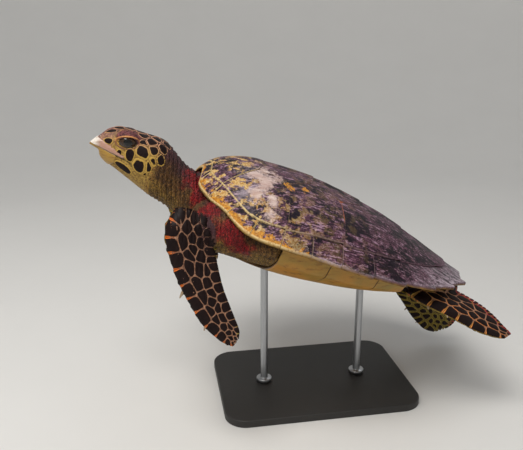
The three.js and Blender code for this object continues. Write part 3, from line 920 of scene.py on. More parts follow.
class Finishes:
    """Every material of the model."""

    def __init__(self) -> None:
        """Builds the shared groups and then the materials."""
        self.shared = SharedLooks()
        self.shell = Finish("tortoiseshell", 0.5, 0.03, 0.3, 0.18, 0.7, 0.0009).material(self._shell)
        self.under = Finish("plastron horn", 0.5, 0.06, 0.35, 0.35, 0.4, 0.0005).material(self._under)
        self.skin = Finish("turtle skin", 0.6, 0.03, 0.4, 0.25, 0.7, 0.0007).material(self._skin)
        self.grains = Finish("skin grains", 0.52, 0.05, 0.35, 0.3).material(self._grains)
        self.scales = Finish("dark scales", 0.5, 0.0, 0.2, 0.14, 0.35, 0.0004).material(self._scales)
        self.beak = Finish("beak horn", 0.42, 0.15, 0.25, 0.5, 0.3, 0.0004).material(self._beak)
        self.claw = Finish("claw horn", 0.35, 0.3, relief=0.2).material(self._claw)
        self.eye = Finish("wet eye", 0.2, 0.5, 0.05, 0.3).material(self._eye)
        self.base = Finish("powder-coated steel", 0.55, relief=0.25, depth=0.0002).material(self._base)
        steel = Finish("brushed steel", 0.3, relief=0.15, depth=0.0001, metallic=1.0)
        self.steel = steel.material(self._steel)
        self.floor = Finish("pale floor", 0.85).material(self._floor)

    def _shell(self, g: Graph) -> dict:
        """Horn with dark streaks over mauve, cream and amber in front, and wear on one shoulder.

        Args:
            g: the material's Graph.

        Returns:
            Its colour, and its height or roughness where it has them.
        """
        at, rays = g.place(), g.add("ShaderNodeUVMap", {"uv_map": "Rays"}).outputs[0]
        seam, front, worn, amber, pale = map(g.attribute, ("seam", "front", "worn", "amber", "pale"))
        lengthwise = g.streaks(g.level(), (150, 26, 120), 6, 0.68)
        hair = g.streaks(g.level(), (520, 80, 420), 4, 0.6)
        fan = g.streaks(rays, (46, 5, 1), 5, 0.68)
        blotch, speck = g.noise(at, 24, 5, 0.62), g.noise(at, 260, 5, 0.7)
        streak = g.plus(g.times(lengthwise, 0.62), g.times(fan, 0.38))
        fine = g.plus(g.times(hair, 0.6), g.times(speck, 0.4))
        base = g.blend(g.ramp(fine, 0.42, 0.60), "2c1824", "6e4759")
        lilac = g.ramp(g.plus(g.times(streak, 0.6), g.times(fine, 0.5)), 0.565, 0.64)
        base = g.blend(g.times(lilac, 0.9), base, "a98a9e")
        russet = g.ramp(g.plus(g.times(blotch, 0.5), g.times(lengthwise, 0.5)), 0.53, 0.62)
        base = g.blend(g.times(russet, 0.5), base, "5f3322")
        dark = g.ramp(g.plus(g.times(streak, -0.62), g.times(blotch, 0.6)), -0.03, 0.03)
        base = g.blend(g.times(dark, 0.92), base, "0e0a14")
        silver = g.times(pale, g.ramp(g.plus(g.times(streak, 0.7), g.times(fine, 0.3)), 0.42, 0.6))
        base = g.blend(silver, base, "c0b0bb")
        spots = self.shared.use(g, self.shared.mottle, Vector=at, Scale=58.0, Low=0.50, High=0.57, Wander=0.6)
        gold = g.blend(g.ramp(speck, 0.35, 0.7), "a8742e", "e0c890")
        base = g.blend(g.times(spots, front), base, gold)
        broken = g.math("SUBTRACT", g.noise(at, 90, 5, 0.7), 0.5)
        glow = g.ramp(g.plus(amber, g.times(broken, 3.6)), 0.42, 0.66)
        glow = g.times(glow, g.ramp(amber, 0.04, 0.2))
        base = g.blend(glow, base, g.blend(g.ramp(speck, 0.3, 0.7), "8a4f12", "da9a34"))
        frayed = g.plus(g.times(speck, 1.6), g.times(g.noise(at, 70, 4), 1.6))
        wear = g.ramp(g.plus(worn, g.math("SUBTRACT", frayed, 1.6)), 0.2, 0.9)
        chalk = g.blend(g.ramp(lengthwise, 0.3, 0.75), "b3948b", "d9c6bf")
        base = g.blend(g.times(wear, 0.93), base, chalk)
        orange = g.attribute("orange")
        rim = g.times(g.ramp(g.math("SUBTRACT", seam, orange), 1.1, 0.25), g.ramp(speck, 0.25, 0.6))
        line = g.blend(g.math("MAXIMUM", front, amber), "6b505b", "d9c08a")
        base = g.blend(rim, base, g.blend(orange, line, "c8683a"))
        horn = g.blend(g.ramp(g.noise(at, 60, 5, 0.6), 0.35, 0.7), "6f4f1c", "a67c30")
        base = g.blend(g.attribute("under"), base, horn)
        height = g.plus(g.times(lengthwise, 0.7), g.times(speck, 0.4))
        return {"colour": base, "height": height, "roughness": g.plus(g.times(speck, 0.3), 0.36)}

    def _under(self, g: Graph) -> dict:
        """Amber horn of the underside.

        Args:
            g: the material's Graph.

        Returns:
            Its colour, and its height or roughness where it has them.
        """
        at, seam = g.place(), g.attribute("seam")
        broad = g.streaks(at, (14, 9, 14), 5, 0.6)
        fine = g.streaks(at, (160, 40, 160), 4, 0.6)
        base = g.blend(g.ramp(broad, 0.35, 0.65), "8c7433", "b07a2c")
        base = g.blend(g.ramp(fine, 0.5, 0.75), base, "6f4a1c")
        base = g.blend(g.ramp(seam, 1.0, 0.1), base, "553a18")
        return {"colour": base, "height": fine}

    def _skin(self, g: Graph) -> dict:
        """Wrinkled skin, tinted by region.

        Args:
            g: the material's Graph.

        Returns:
            Its colour, and its height or roughness where it has them.
        """
        at, tint = g.place(), g.attribute("Tint", "Color")
        vary = g.noise(at, 300, 4, 0.6)
        base = g.blend(g.ramp(vary, 0.3, 0.7), g.darker(tint, (0.34, 0.3, 0.32)), tint)
        return {"colour": base, "height": self.shared.use(g, self.shared.grain, Vector=at, Scale=700.0)}

    def _grains(self, g: Graph) -> dict:
        """Small scales, each a little lighter or darker than the next.

        Args:
            g: the material's Graph.

        Returns:
            Its colour, and its height or roughness where it has them.
        """
        tint, shade = g.attribute("Tint", "Color"), g.attribute("shade")
        low, high = g.darker(tint, (0.4, 0.34, 0.36)), g.darker(tint, (1.35, 1.2, 1.05))
        base = g.blend(g.ramp(shade, 0.05, 0.95), low, high)
        patchy = g.ramp(g.noise(g.place(), 60, 4), 0.38, 0.62)
        return {"colour": g.blend(patchy, base, g.darker(base, (0.55, 0.48, 0.52)))}

    def _scales(self, g: Graph) -> dict:
        """Dark horny scales with pale margins.

        Args:
            g: the material's Graph.

        Returns:
            Its colour, and its height or roughness where it has them.
        """
        at, edge, tint = g.place(), g.attribute("edge"), g.attribute("Tint", "Color")
        ragged = g.plus(edge, g.times(g.math("SUBTRACT", g.noise(at, 240, 4, 0.6), 0.5), 1.6))
        dark = g.blend(g.noise(at, 90, 3), "0a0507", "241412")
        base = g.blend(g.ramp(ragged, 0.45, 1.0), tint, dark)
        return {"colour": base, "height": self.shared.use(g, self.shared.grain, Vector=at, Scale=500.0)}

    def _beak(self, g: Graph) -> dict:
        """Smooth horn, tinted by region, with faint lengthwise streaks.

        Args:
            g: the material's Graph.

        Returns:
            Its colour, and its height or roughness where it has them.
        """
        at, tint = g.place(), g.attribute("Tint", "Color")
        streak = g.streaks(at, (120, 30, 260), 4, 0.6)
        base = g.blend(g.ramp(streak, 0.45, 0.8), tint, g.darker(tint, (0.62, 0.5, 0.42)))
        return {"colour": base, "height": streak}

    def _claw(self, g: Graph) -> dict:
        """Pale claw horn with darker streaks."""
        streak = g.streaks(g.place(), (300, 300, 60), 3)
        return {"colour": g.blend(streak, "6a5238", "b8a284"), "height": streak}

    def _eye(self, g: Graph) -> dict:
        """A dark iris round a black pupil, under a wet clear surface.

        Args:
            g: the material's Graph.

        Returns:
            Its colour, and its height or roughness where it has them.
        """
        gaze = g.attribute("gaze")
        rays = g.streaks(g.place(), (500, 500, 500), 3)
        iris = g.blend(rays, "1b100b", "4a3119")
        base = g.blend(g.ramp(gaze, 0.30, 0.36), "040303", iris)
        return {"colour": g.blend(g.ramp(gaze, 0.72, 0.86), base, "0d0807")}

    def _base(self, g: Graph) -> dict:
        """Matt black powder coat."""
        grain = self.shared.use(g, self.shared.grain, Vector=g.place(), Scale=900.0)
        return {"colour": g.blend(g.noise(g.place(), 20), "232120", "2c2a28"), "height": grain}

    def _steel(self, g: Graph) -> dict:
        """Brushed metal, with its brushing along the rod."""
        brushed = g.streaks(g.place(), (900, 900, 20), 3)
        return {"colour": g.blend(brushed, "8f9194", "bfc1c4"), "height": brushed}

    def _floor(self, g: Graph) -> dict:
        """A plain pale floor."""
        return {"colour": g.blend(g.noise(g.place(), 3), "dedddb", "e4e3e1")}


# ---- shell plates
def chain(corners: Sequence, parts: Sequence[int]) -> Array:
    """The points of a bent line, with parts[i] equal steps on its i-th stretch.

    Args:
        corners: the line's corners.
        parts: the steps on each stretch.

    Returns:
        The points.
    """
    line = [np.array(corners[0], float)]
    for i, count in enumerate(parts):
        a, b = np.array(corners[i], float), np.array(corners[i + 1], float)
        line += [mix(a, b, k / count) for k in range(1, count + 1)]
    return np.array(line)


def flipped(line: Array) -> Array:
    """A plan line on the other side of the animal."""
    return np.asarray(line) * np.array([-1.0, 1.0])


def both_sides(line: Array) -> Array:
    """A line from the middle outwards, with its mirror image before it."""
    return np.concatenate([flipped(line[1:][::-1]), line])


def along_line(line: Array, at: Array) -> Array:
    """Points of a line at shares of its list of points."""
    index = at * (len(line) - 1)
    return np.stack([np.interp(index, np.arange(len(line)), line[:, k]) for k in range(line.shape[1])], -1)


def fine_steps(count: int, edge: float) -> Array:
    """Shares from 0 to 1, with extra ones close to both ends."""
    near = np.array([0, 0.25, 0.55, 1.0]) * edge
    return np.concatenate([near, np.linspace(edge, 1 - edge, count)[1:-1], 1 - near[::-1]])


def coons(edges: Sequence[Array], across: Array, along: Array) -> Array:
    """Plan points inside four edges.

    Args:
        edges: the front and rear edge, from right to left, then the right and left edge, from
            front to rear.
        across, along: the shares at which the points lie.

    Returns:
        A grid of points, len(along) by len(across) by 2.
    """
    front, rear, right, left = edges
    u, v = across[None, :, None], along[:, None, None]
    ahead, behind = along_line(front, across)[None], along_line(rear, across)[None]
    corners = mix(mix(front[0], front[-1], u), mix(rear[0], rear[-1], u), v)
    beside = mix(along_line(right, along)[:, None], along_line(left, along)[:, None], u)
    return mix(ahead, behind, v) + beside - corners


def rough_plan(grid: Array, size: float, layers: int) -> Array:
    """Unevenness over a plan grid."""
    return ROUGH.at(np.dstack([grid, grid[..., 0] * 0]), size, layers)


def border_distance(grid: Array) -> Array:
    """How far each point of a grid lies from the grid's own border.

    Args:
        grid: plan points.

    Returns:
        One distance for each point.
    """
    ring = np.concatenate([grid[0], grid[1:, -1], grid[-1, ::-1][1:], grid[::-1, 0][1:]])
    a, b = ring[:-1], ring[1:]
    span = b - a
    size = np.maximum((span**2).sum(-1), 1e-9)
    flat = grid.reshape(-1, 2)
    best = np.full(len(flat), 1e9)
    for k in range(len(a)):
        f = np.clip(((flat - a[k]) @ span[k]) / size[k], 0, 1)
        best = np.minimum(best, np.hypot(*(flat - a[k] - f[:, None] * span[k]).T))
    return best.reshape(grid.shape[:2])


def pulled_in(grid: Array, by: float) -> Array:
    """A plan grid drawn in towards its middle.

    Args:
        grid: plan points.
        by: how far, at the border.

    Returns:
        The moved points.
    """
    middle = grid.reshape(-1, 2).mean(0)
    reach = np.linalg.norm(grid - middle, axis=-1, keepdims=True)
    return middle + (grid - middle) * (1 - by / np.maximum(reach, 20))


@dataclass
class Parts:
    """Meshes gathered for one object, with the values kept for their points."""

    points: list = field(default_factory=list)
    faces: Faces = field(default_factory=list)
    values: dict = field(default_factory=dict)
    count: int = 0

    def take(self, points: Array, faces: Faces, **values: Array) -> "Parts":
        """Adds one closed mesh, whose faces count from zero, and returns itself.

        Args:
            points: its points.
            faces: its faces.
            **values: what is kept for each point, by name.

        Returns:
            Itself.
        """
        self.points.append(points)
        self.faces += [tuple(k + self.count for k in face) for face in faces]
        self.count += len(points)
        for name, value in values.items():
            self.values.setdefault(name, []).append(np.asarray(value, float))
        return self

    def made(self, name: str) -> Object:
        """The object, with its values and its maps.

        Args:
            name: the object's name.

        Returns:
            The object, with its faces outwards.
        """
        made = outward(new_object(name, np.concatenate(self.points), self.faces))
        for key, value in self.values.items():
            whole = np.concatenate(value)
            keep = map_points if key in ("Rays", "OFBake") else point_values
            keep(made, key, whole)
        return made


def plate_mesh(grid: Array, top: Array, bottom: Array) -> tuple[Array, Faces]:
    """A closed plate over a plan grid, between two heights."""
    points = np.concatenate([np.dstack([grid, height]).reshape(-1, 3) for height in (top, bottom)])
    return points, sheet_faces(*top.shape)


@dataclass
class Carapace:
    """The shell's back: five vertebrals, four costals a side, the nuchal and the marginals."""

    front_lift: float = 2.6
    rear_lift: float = 4.4
    under: float = 2.4
    overlap: float = 3.6
    lap: tuple = (0.3, 0.6, 0.8, 0.92, 1.0)  # shares of the overlap that have points
    rounding: float = 1.1
    growth_pitch: float = 5.5
    point: float = 11.0
    ends: tuple = ((50, -190), (48, -93), (43, 7), (32, 106))
    corners: tuple = ((80, -142), (76, -43), (62, 57))
    rim_over: float = 1.4
    rim_inner: float = 11.0
    rim_outer: float = 4.5

    def _front(self, x: Array, y: Array) -> Array:
        """Where the cream and amber mottling lies: in front, and along the front rim."""
        reach = SHELL.across(x, y)
        return np.clip(smooth(y, -170, -228) + 0.6 * smooth(y, -60, -190) * smooth(reach, 0.45, 0.8)
                       + 0.12 * smooth(y, 60, -60), 0, 1)

    def _worn(self, x: Array, y: Array) -> Array:
        """The worn pale patch on the left shoulder of the shell.

        Args:
            x, y: places in plan.

        Returns:
            Above 0.5 where the horn is worn.
        """
        broad = np.hypot((x - 82) / 40, (y + 182 - 0.12 * (x - 88)) / 25)
        tail = np.hypot((x - 126) / 26, (y + 168) / 13)
        bent = np.minimum(broad, tail) + 0.75 * ROUGH.at(np.stack([x, y, x * 0], -1), 22, 4)
        bite = bump_at(x, 103, 19) * bump_at(y, -156, 13)
        return 0.5 + (1 - bent) * 0.9 - 1.5 * bite

    @staticmethod
    def _amber_spots(x: Array, y: Array) -> Array:
        """Two amber spots behind the worn patch, on the left side alone."""
        return 0.75 * (bump_at(x, 88, 13) * bump_at(y, -140, 8) + bump_at(x, 80, 11) * bump_at(y, -110, 7))

    @staticmethod
    def _seam_glow(x: Array, y: Array) -> Array:
        """Where a seam is orange: behind the second costal of the left side."""
        return 0.9 * smooth(np.abs(y + 42), 9, 5) * smooth(x, 66, 74) * smooth(x, 146, 126)

    def _surface(self, grid: Array, lift: Array, areola: Array, round_to: float) -> tuple:
        """The top's height over a plan grid, and the values for its finish.

        Args:
            grid: its plan points.
            lift: how far it stands over the bone.
            areola: where its growth began.
            round_to: how much of the rounding its edges get.

        Returns:
            The heights, and the values by name.
        """
        x, y = grid[..., 0], grid[..., 1]
        away = border_distance(grid)
        out = grid - areola
        reach = np.hypot(out[..., 0], out[..., 1])
        ring = np.sin(reach / self.growth_pitch * 2 * math.pi + 2.2 * rough_plan(grid, 40, 2))
        fade = smooth(away, 1.0, 9.0)
        rough = rough_plan(grid, 18, 3)
        relief = 0.16 * ring * (1 - 0.6 * fade) + 0.45 * rough * fade
        inside = np.clip(self.rounding - away, 0, self.rounding)
        drop = self.rounding - np.sqrt(np.maximum(self.rounding**2 - inside**2, 0))
        top = SHELL.dome(x, y) + lift + relief - drop * round_to
        rays = np.stack([np.arctan2(out[..., 1], out[..., 0]) / (2 * math.pi), reach / 100], -1)
        return top, {"seam": away, "front": self._front(x, y), "worn": self._worn(x, y), "Rays": rays,
                     "amber": self._amber_spots(x, y), "orange": self._seam_glow(x, y),
                     "pale": 0.75 * bump_at(x, 92, 45) * bump_at(y, -208, 24)}

    @staticmethod
    def _doubled(values: dict, under: float) -> dict:
        """The values for the top's points and then the bottom's.

        Args:
            values: the top's values.
            under: 1 where the bottom shows its amber horn.

        Returns:
            The values of all points.
        """
        made = {}
        for name, value in values.items():
            flat = value.reshape(-1, 2) if name == "Rays" else value.ravel()
            made[name] = np.concatenate([flat, flat])
        half = len(made["seam"]) // 2
        made["under"] = np.concatenate([np.zeros(half), np.full(half, under)])
        return made

    def scute(self, edges: tuple, areola: tuple[float, float], side: Side = Side.LEFT) -> Parts:
        """One scute of the back.

        Args:
            edges: the front, rear, right and left edge in plan.
            areola: the shares across and along where its rays start.
            side: the side that it is made for.

        Returns:
            Its closed mesh, in a Parts of its own.
        """
        u, v = fine_steps(46, 0.03), fine_steps(46, 0.03)
        grid = pulled_in(coons(edges, u, v), GAP)
        start = coons(edges, *(np.array([share]) for share in areola))[0, 0]
        way = unit(grid[-1] - grid[-5])
        fade = (1 - np.abs(2 * u - 1) ** 7)[:, None]
        extra = np.stack([grid[-1] + way * fade * self.overlap * share for share in self.lap])
        grid = np.concatenate([grid, extra])
        v = np.concatenate([v, np.ones(len(self.lap))])
        lift = mix(self.front_lift, self.rear_lift, v)[:, None] + np.zeros(len(u))
        top, values = self._surface(grid, lift, start, 1.0)
        thick = mix(self.front_lift + self.under, 2.0, smooth(v, 0.86, 0.985))[:, None]
        bottom = SHELL.dome(grid[..., 0], grid[..., 1]) + lift - self.rounding - 0.3 - (thick - 2.0) * 0.9
        points, faces = plate_mesh(grid, top, bottom)
        if side is Side.RIGHT:
            values.update({name: values[name] * 0 for name in ("worn", "orange", "amber")})
        return Parts().take(side.put(points), faces, **self._doubled(values, 0.0))

    def scutes(self) -> dict[str, Parts]:
        """All the scutes of the back by their CAD nodes' names.

        Returns:
            Each scute's mesh.
        """
        ends = [np.array(p, float) for p in self.ends]
        middles = [np.array(p, float) for p in self.corners]
        neck, tail = SHELL.inner_seam(1), SHELL.inner_seam(10)
        seams = [both_sides(np.concatenate([SHELL.inner_seam(-1)[None], SHELL.seam_line(0, 1)]))]
        seams += [both_sides(chain([[0, y + self.point], [x, y]], [3])) for x, y in self.ends]
        seams += [both_sides(SHELL.seam_line(12, 10))]
        sides = [chain([neck, ends[0]], [4])]
        sides += [chain([ends[i], c, ends[i + 1]], [2, 2]) for i, c in enumerate(middles)]
        sides += [chain([ends[3], tail], [4])]
        made = {}
        for i, side in enumerate(sides):
            edges = (seams[i], seams[i + 1], flipped(side), side)
            made[f"scute_vertebral_{i + 1}"] = self.scute(edges, (0.5, 0.86))
        spans = [(2.5, 4), (4, 6), (6, 8), (8, 10)]
        inners = [[neck, ends[0], middles[0]], [middles[0], ends[1], middles[1]],
                  [middles[1], ends[2], middles[2]], [middles[2], (middles[2] + ends[3]) / 2, ends[3]]]
        for i, ((start, end), inner) in enumerate(zip(spans, inners)):
            outer = SHELL.seam_line(start, end)
            front = SHELL.seam_line(1, start) if i == 0 else chain([inner[0], SHELL.inner_seam(start)], [4])
            rear = chain([inner[2], SHELL.inner_seam(end)], [len(front) - 1])
            edges = (front, rear, chain(inner, [len(outer) - 3, 2]), outer)
            for side in Side:
                made[f"scute_costal_{side.word}_{i + 1}"] = self.scute(edges, (0.3, 0.9), side)
        return made

    def _rim_plate(self, inner: Array, outer: Array, areola: tuple, made: Parts, side: Side) -> None:
        """Adds one scute of the rim, between its inner and outer edge.

        Args:
            inner, outer: its edges in plan.
            areola: the shares out and along where its growth began.
            made: where it is added.
            side: the side that it is made for.
        """
        g = np.array([0, 0.03, 0.08, 0.2, 0.35, 0.5, 0.65, 0.78, 0.88, 0.94, 0.975, 1.0])
        grid = pulled_in(mix(inner[:, None], outer[:, None], g[None, :, None]), GAP)
        x, y = grid[..., 0], grid[..., 1]
        lift = np.full(x.shape, self.rim_over) + 0.9 * smooth(np.linspace(0, 1, len(inner)), 0.3, 1)[:, None]
        start = mix(mix(inner[0], inner[-1], areola[1]), mix(outer[0], outer[-1], areola[1]), areola[0])
        top, values = self._surface(grid, lift, start, 0.9)
        depth = mix(self.rim_inner, self.rim_outer, g)[None, :] + np.zeros(x.shape)
        bottom = SHELL.dome(x, y) - depth + 0.8 * np.clip(1 - values["seam"] / 1.5, 0, 1)
        points, faces = plate_mesh(grid, top, bottom)
        values["worn"] = values["worn"] * 0
        outer_part = smooth(g, 0.42, 0.78)[None, :] + 0 * x
        marked = mix(0.45, 1, smooth(np.abs(x), 88, 125)) * (0.85 + 0.5 * rough_plan(grid, 30, 3))
        tips = 0.5 * smooth(g, 0.8, 1) * smooth(y, 20, -120)
        values["amber"] = outer_part * smooth(y, -90, -190) * marked + tips
        values["pale"] = smooth(y, 60, 190) * (0.55 + 0.45 * smooth(g, 0.2, 0.8)) + 0.8 * smooth(g, 0.9, 1)
        made.take(side.put(points), faces, **self._doubled(values, 1.0))

    def rim(self) -> dict[str, Parts]:
        """The marginals in groups of three and the nuchal, by their CAD nodes' names.

        Returns:
            Each group's meshes.
        """
        made = {}
        along = fine_steps(16, 0.06)
        for side in Side:
            for start in range(0, 12, 3):
                group = made[f"marginals_{side.word}_{start + 1}_to_{start + 3}"] = Parts()
                for k in range(start, start + 3):
                    inner = along_line(SHELL.seam_line(k, k + 1), along)
                    outer = SHELL.outer_seam(k + along)
                    tooth = np.interp(along, [0, 0.5, 0.92, 1], [0, 0.24, 1, 0.25])
                    reach = 12 * smooth(k + 1, 4.5, 11) * tooth
                    way = unit(outer - inner)
                    self._rim_plate(inner, outer + way * reach[:, None], (0.5, 0.8), group, side)
        half = np.linspace(0, 1, 24)[:, None]
        seams = (SHELL.inner_seam, SHELL.outer_seam)
        edges = [both_sides(mix(*seam(np.array([-1, 0])), half)) for seam in seams]
        group = made["scute_nuchal"] = Parts()
        self._rim_plate(*edges, (0.2, 0.5), group, Side.LEFT)
        return made

    def build(self, looks: Finishes) -> None:
        """Makes every scute and dresses it."""
        for name, parts in {**self.scutes(), **self.rim()}.items():
            finished(parts.made(name + "_horn"), [name], looks.shell)


@dataclass
class Plastron:
    """The underside's plates and the bridges to the rim."""

    thick: float = 5.5
    # where each plate starts, half its width there, and its name
    seams: tuple = ((-224, 30, "gular"), (-192, 64, "humeral"), (-142, 100, "pectoral"),
                    (-62, 112, "abdominal"), (24, 108, "femoral"), (112, 76, "anal"), (196, 24, ""))
    bridge_reach: float = 0.972

    def _plate(self, grid: Array, curl: Optional[Array] = None, side: Side = Side.LEFT) -> Parts:
        """One plate of the underside over a plan grid.

        Args:
            grid: its plan points.
            curl: 1 where it turns up to meet the rim.
            side: the side that it is made for.

        Returns:
            Its closed mesh, in a Parts of its own.
        """
        grid = pulled_in(grid, GAP)
        x, y = grid[..., 0], grid[..., 1]
        away = border_distance(grid)
        belly = SHELL.belly(x, y)
        if curl is not None:
            roof = SHELL.dome(x, y) - SHELL.under_rim(x, y) + 1.7 - self.thick
            belly = mix(belly, np.maximum(roof, belly), curl)
        inside = np.clip(1.2 - away, 0, 1.2)
        rough = rough_plan(grid, 22, 3) * 0.3 * smooth(away, 1, 8)
        bottom = belly + rough + 1.2 - np.sqrt(np.maximum(1.44 - inside**2, 0))
        points, faces = plate_mesh(grid, belly + self.thick, bottom)
        seam = np.minimum(away, np.abs(x) + 0.4) if np.ptp(np.sign(x)) > 1 else away
        return Parts().take(side.put(points), faces, seam=np.concatenate([seam.ravel()] * 2))

    def build(self, looks: Finishes) -> None:
        """Makes the plates and bridges and dresses them.

        Args:
            looks: the materials.
        """
        across, along = fine_steps(40, 0.02), fine_steps(20, 0.04)
        for (y, width, name), (after, after_width, _) in zip(self.seams, self.seams[1:]):
            half = mix(width, after_width, along)[:, None]
            x = (2 * across - 1)[None] * half
            grid = np.dstack([x, np.broadcast_to(mix(y, after, along)[:, None], x.shape)])
            node = f"plastron_{name}"
            finished(self._plate(grid).made(node + "_horn"), [node], looks.under)
        edge = [(w, y) for y, w, _ in self.seams[2:5]] + [(88, 80)]
        for side in Side:
            bridge = Parts()
            for (x0, y0), (x1, y1) in zip(edge, edge[1:]):
                y = mix(y0, y1, along)[:, None] + np.zeros(len(across))
                rim = SHELL.half_width(y[:, :1]) * self.bridge_reach
                x = mix(mix(x0, x1, along)[:, None] + 2 * GAP, rim, across[None])
                curl = smooth(across, 0.86, 0.985)[None] + 0 * x
                part = self._plate(np.dstack([x, y]), curl, side)
                bridge.take(part.points[0], part.faces, seam=part.values["seam"][0])
            name = f"bridge_{side.word}"
            finished(bridge.made(name + "_horn"), [name], looks.under)


# ---- the skin
class Tints:
    """The colours of the skin, which its scales share."""

    throat = rgb("8f7434")
    neck = rgb("6b4f2a")
    crown = rgb("4a2c30")
    crimson = rgb("8f1a1f")
    cheek = rgb("b8954a")
    snout = rgb("a87a6c")
    brow = rgb("b98a55")
    lid = rgb("7a4a4e")
    blush = rgb("a03a3e")
    rim = rgb("d09a62")
    lip = rgb("3a3d22")
    cream = rgb("b08468")
    orange = rgb("d5691c")
    ember = rgb("d98a48")
    olive = rgb("8f7c34")
    shadow = rgb("8c6a2c")
    tip = rgb("f1ebe2")
    upper = rgb("b58a78")
    lower = rgb("a98232")
    # near-black painted shade for the eye openings and the nostrils
    hollow = rgb("120b0a")
    forehead = rgb("b98a6c")


def layered(base: Union[Colour, Array], *layers: tuple[Array, Colour]) -> Array:
    """Colours laid over one another.

    Args:
        base: the first colour, or one for each point.
        *layers: for each one its share at each point, and its colour.

    Returns:
        A colour for each point.
    """
    base = np.broadcast_to(np.array(base), (len(layers[0][0]), 3))
    for share, colour in layers:
        base = mix(base, np.array(colour), np.clip(share, 0, 1)[..., None])
    return base


def mouth_height(y: Array) -> Array:
    """The height of the mouth's line along the head."""
    return np.interp(y, [-480, -450, -408, -396, -384], [31, 28.5, 24.5, 21.5, 14])


@dataclass
class Lids:
    """The eyes and the openings of their lids, on the left; the right ones mirror them."""

    eye: tuple = (19, -408, 53)
    lid: tuple = (20, -407.5, 55.5)
    lid_radii: tuple = (17.4, 20.5, 15.5)
    opening: tuple = (41, -409, 52.5)
    opening_radii: tuple = (16, 18.5, 10.2)
    tilt: float = 16.0

    def _lean(self) -> tuple[float, float]:
        """The cosine and sine of the openings' tilt."""
        return math.cos(math.radians(self.tilt)), math.sin(math.radians(self.tilt))

    def _across(self, points: Array) -> Array:
        """The place of points in the opening, in its own radii, with both sides taken as the left.

        Args:
            points: body points.

        Returns:
            The places, with 1 at the opening's border.
        """
        at, (c, s) = as_left(points) - self.opening, self._lean()
        turned = np.stack([at[:, 0], at[:, 1] * c + at[:, 2] * s, at[:, 2] * c - at[:, 1] * s], -1)
        return turned / np.array(self.opening_radii)

    def in_opening(self, points: Array) -> Array:
        """Below 1 inside the opening."""
        return np.linalg.norm(self._across(points), axis=-1)

    def on_lid(self, points: Array) -> Array:
        """Below 1 inside the mass of the lids."""
        return np.linalg.norm((as_left(points) - self.lid) / self.lid_radii, axis=-1)

    def border(self, count: int, scale: float) -> Array:
        """Places in y and z round the opening.

        Args:
            count: how many.
            scale: their reach, in the opening's radii.

        Returns:
            The places.
        """
        turn = turns(count)
        v, w = self.opening_radii[1] * scale * np.cos(turn), self.opening_radii[2] * scale * np.sin(turn)
        c, s = self._lean()
        return np.stack([self.opening[1] + v * c - w * s, self.opening[2] + v * s + w * c], -1)

    def carve(self, points: Array) -> Array:
        """Skin points moved out of the opening, deeper into the head.

        Args:
            points: the skin's points.

        Returns:
            The moved points.
        """
        left, at = as_left(points), self._across(points)
        inside = np.linalg.norm(at, axis=-1) < 1
        flat = np.clip(1 - at[:, 1] ** 2 - at[:, 2] ** 2, 0, 1)
        deep = self.opening[0] - self.opening_radii[0] * np.sqrt(flat)
        left[:, 0] = np.where(inside, np.minimum(left[:, 0], deep), left[:, 0])
        left[:, 0] *= np.sign(points[:, 0])
        return left


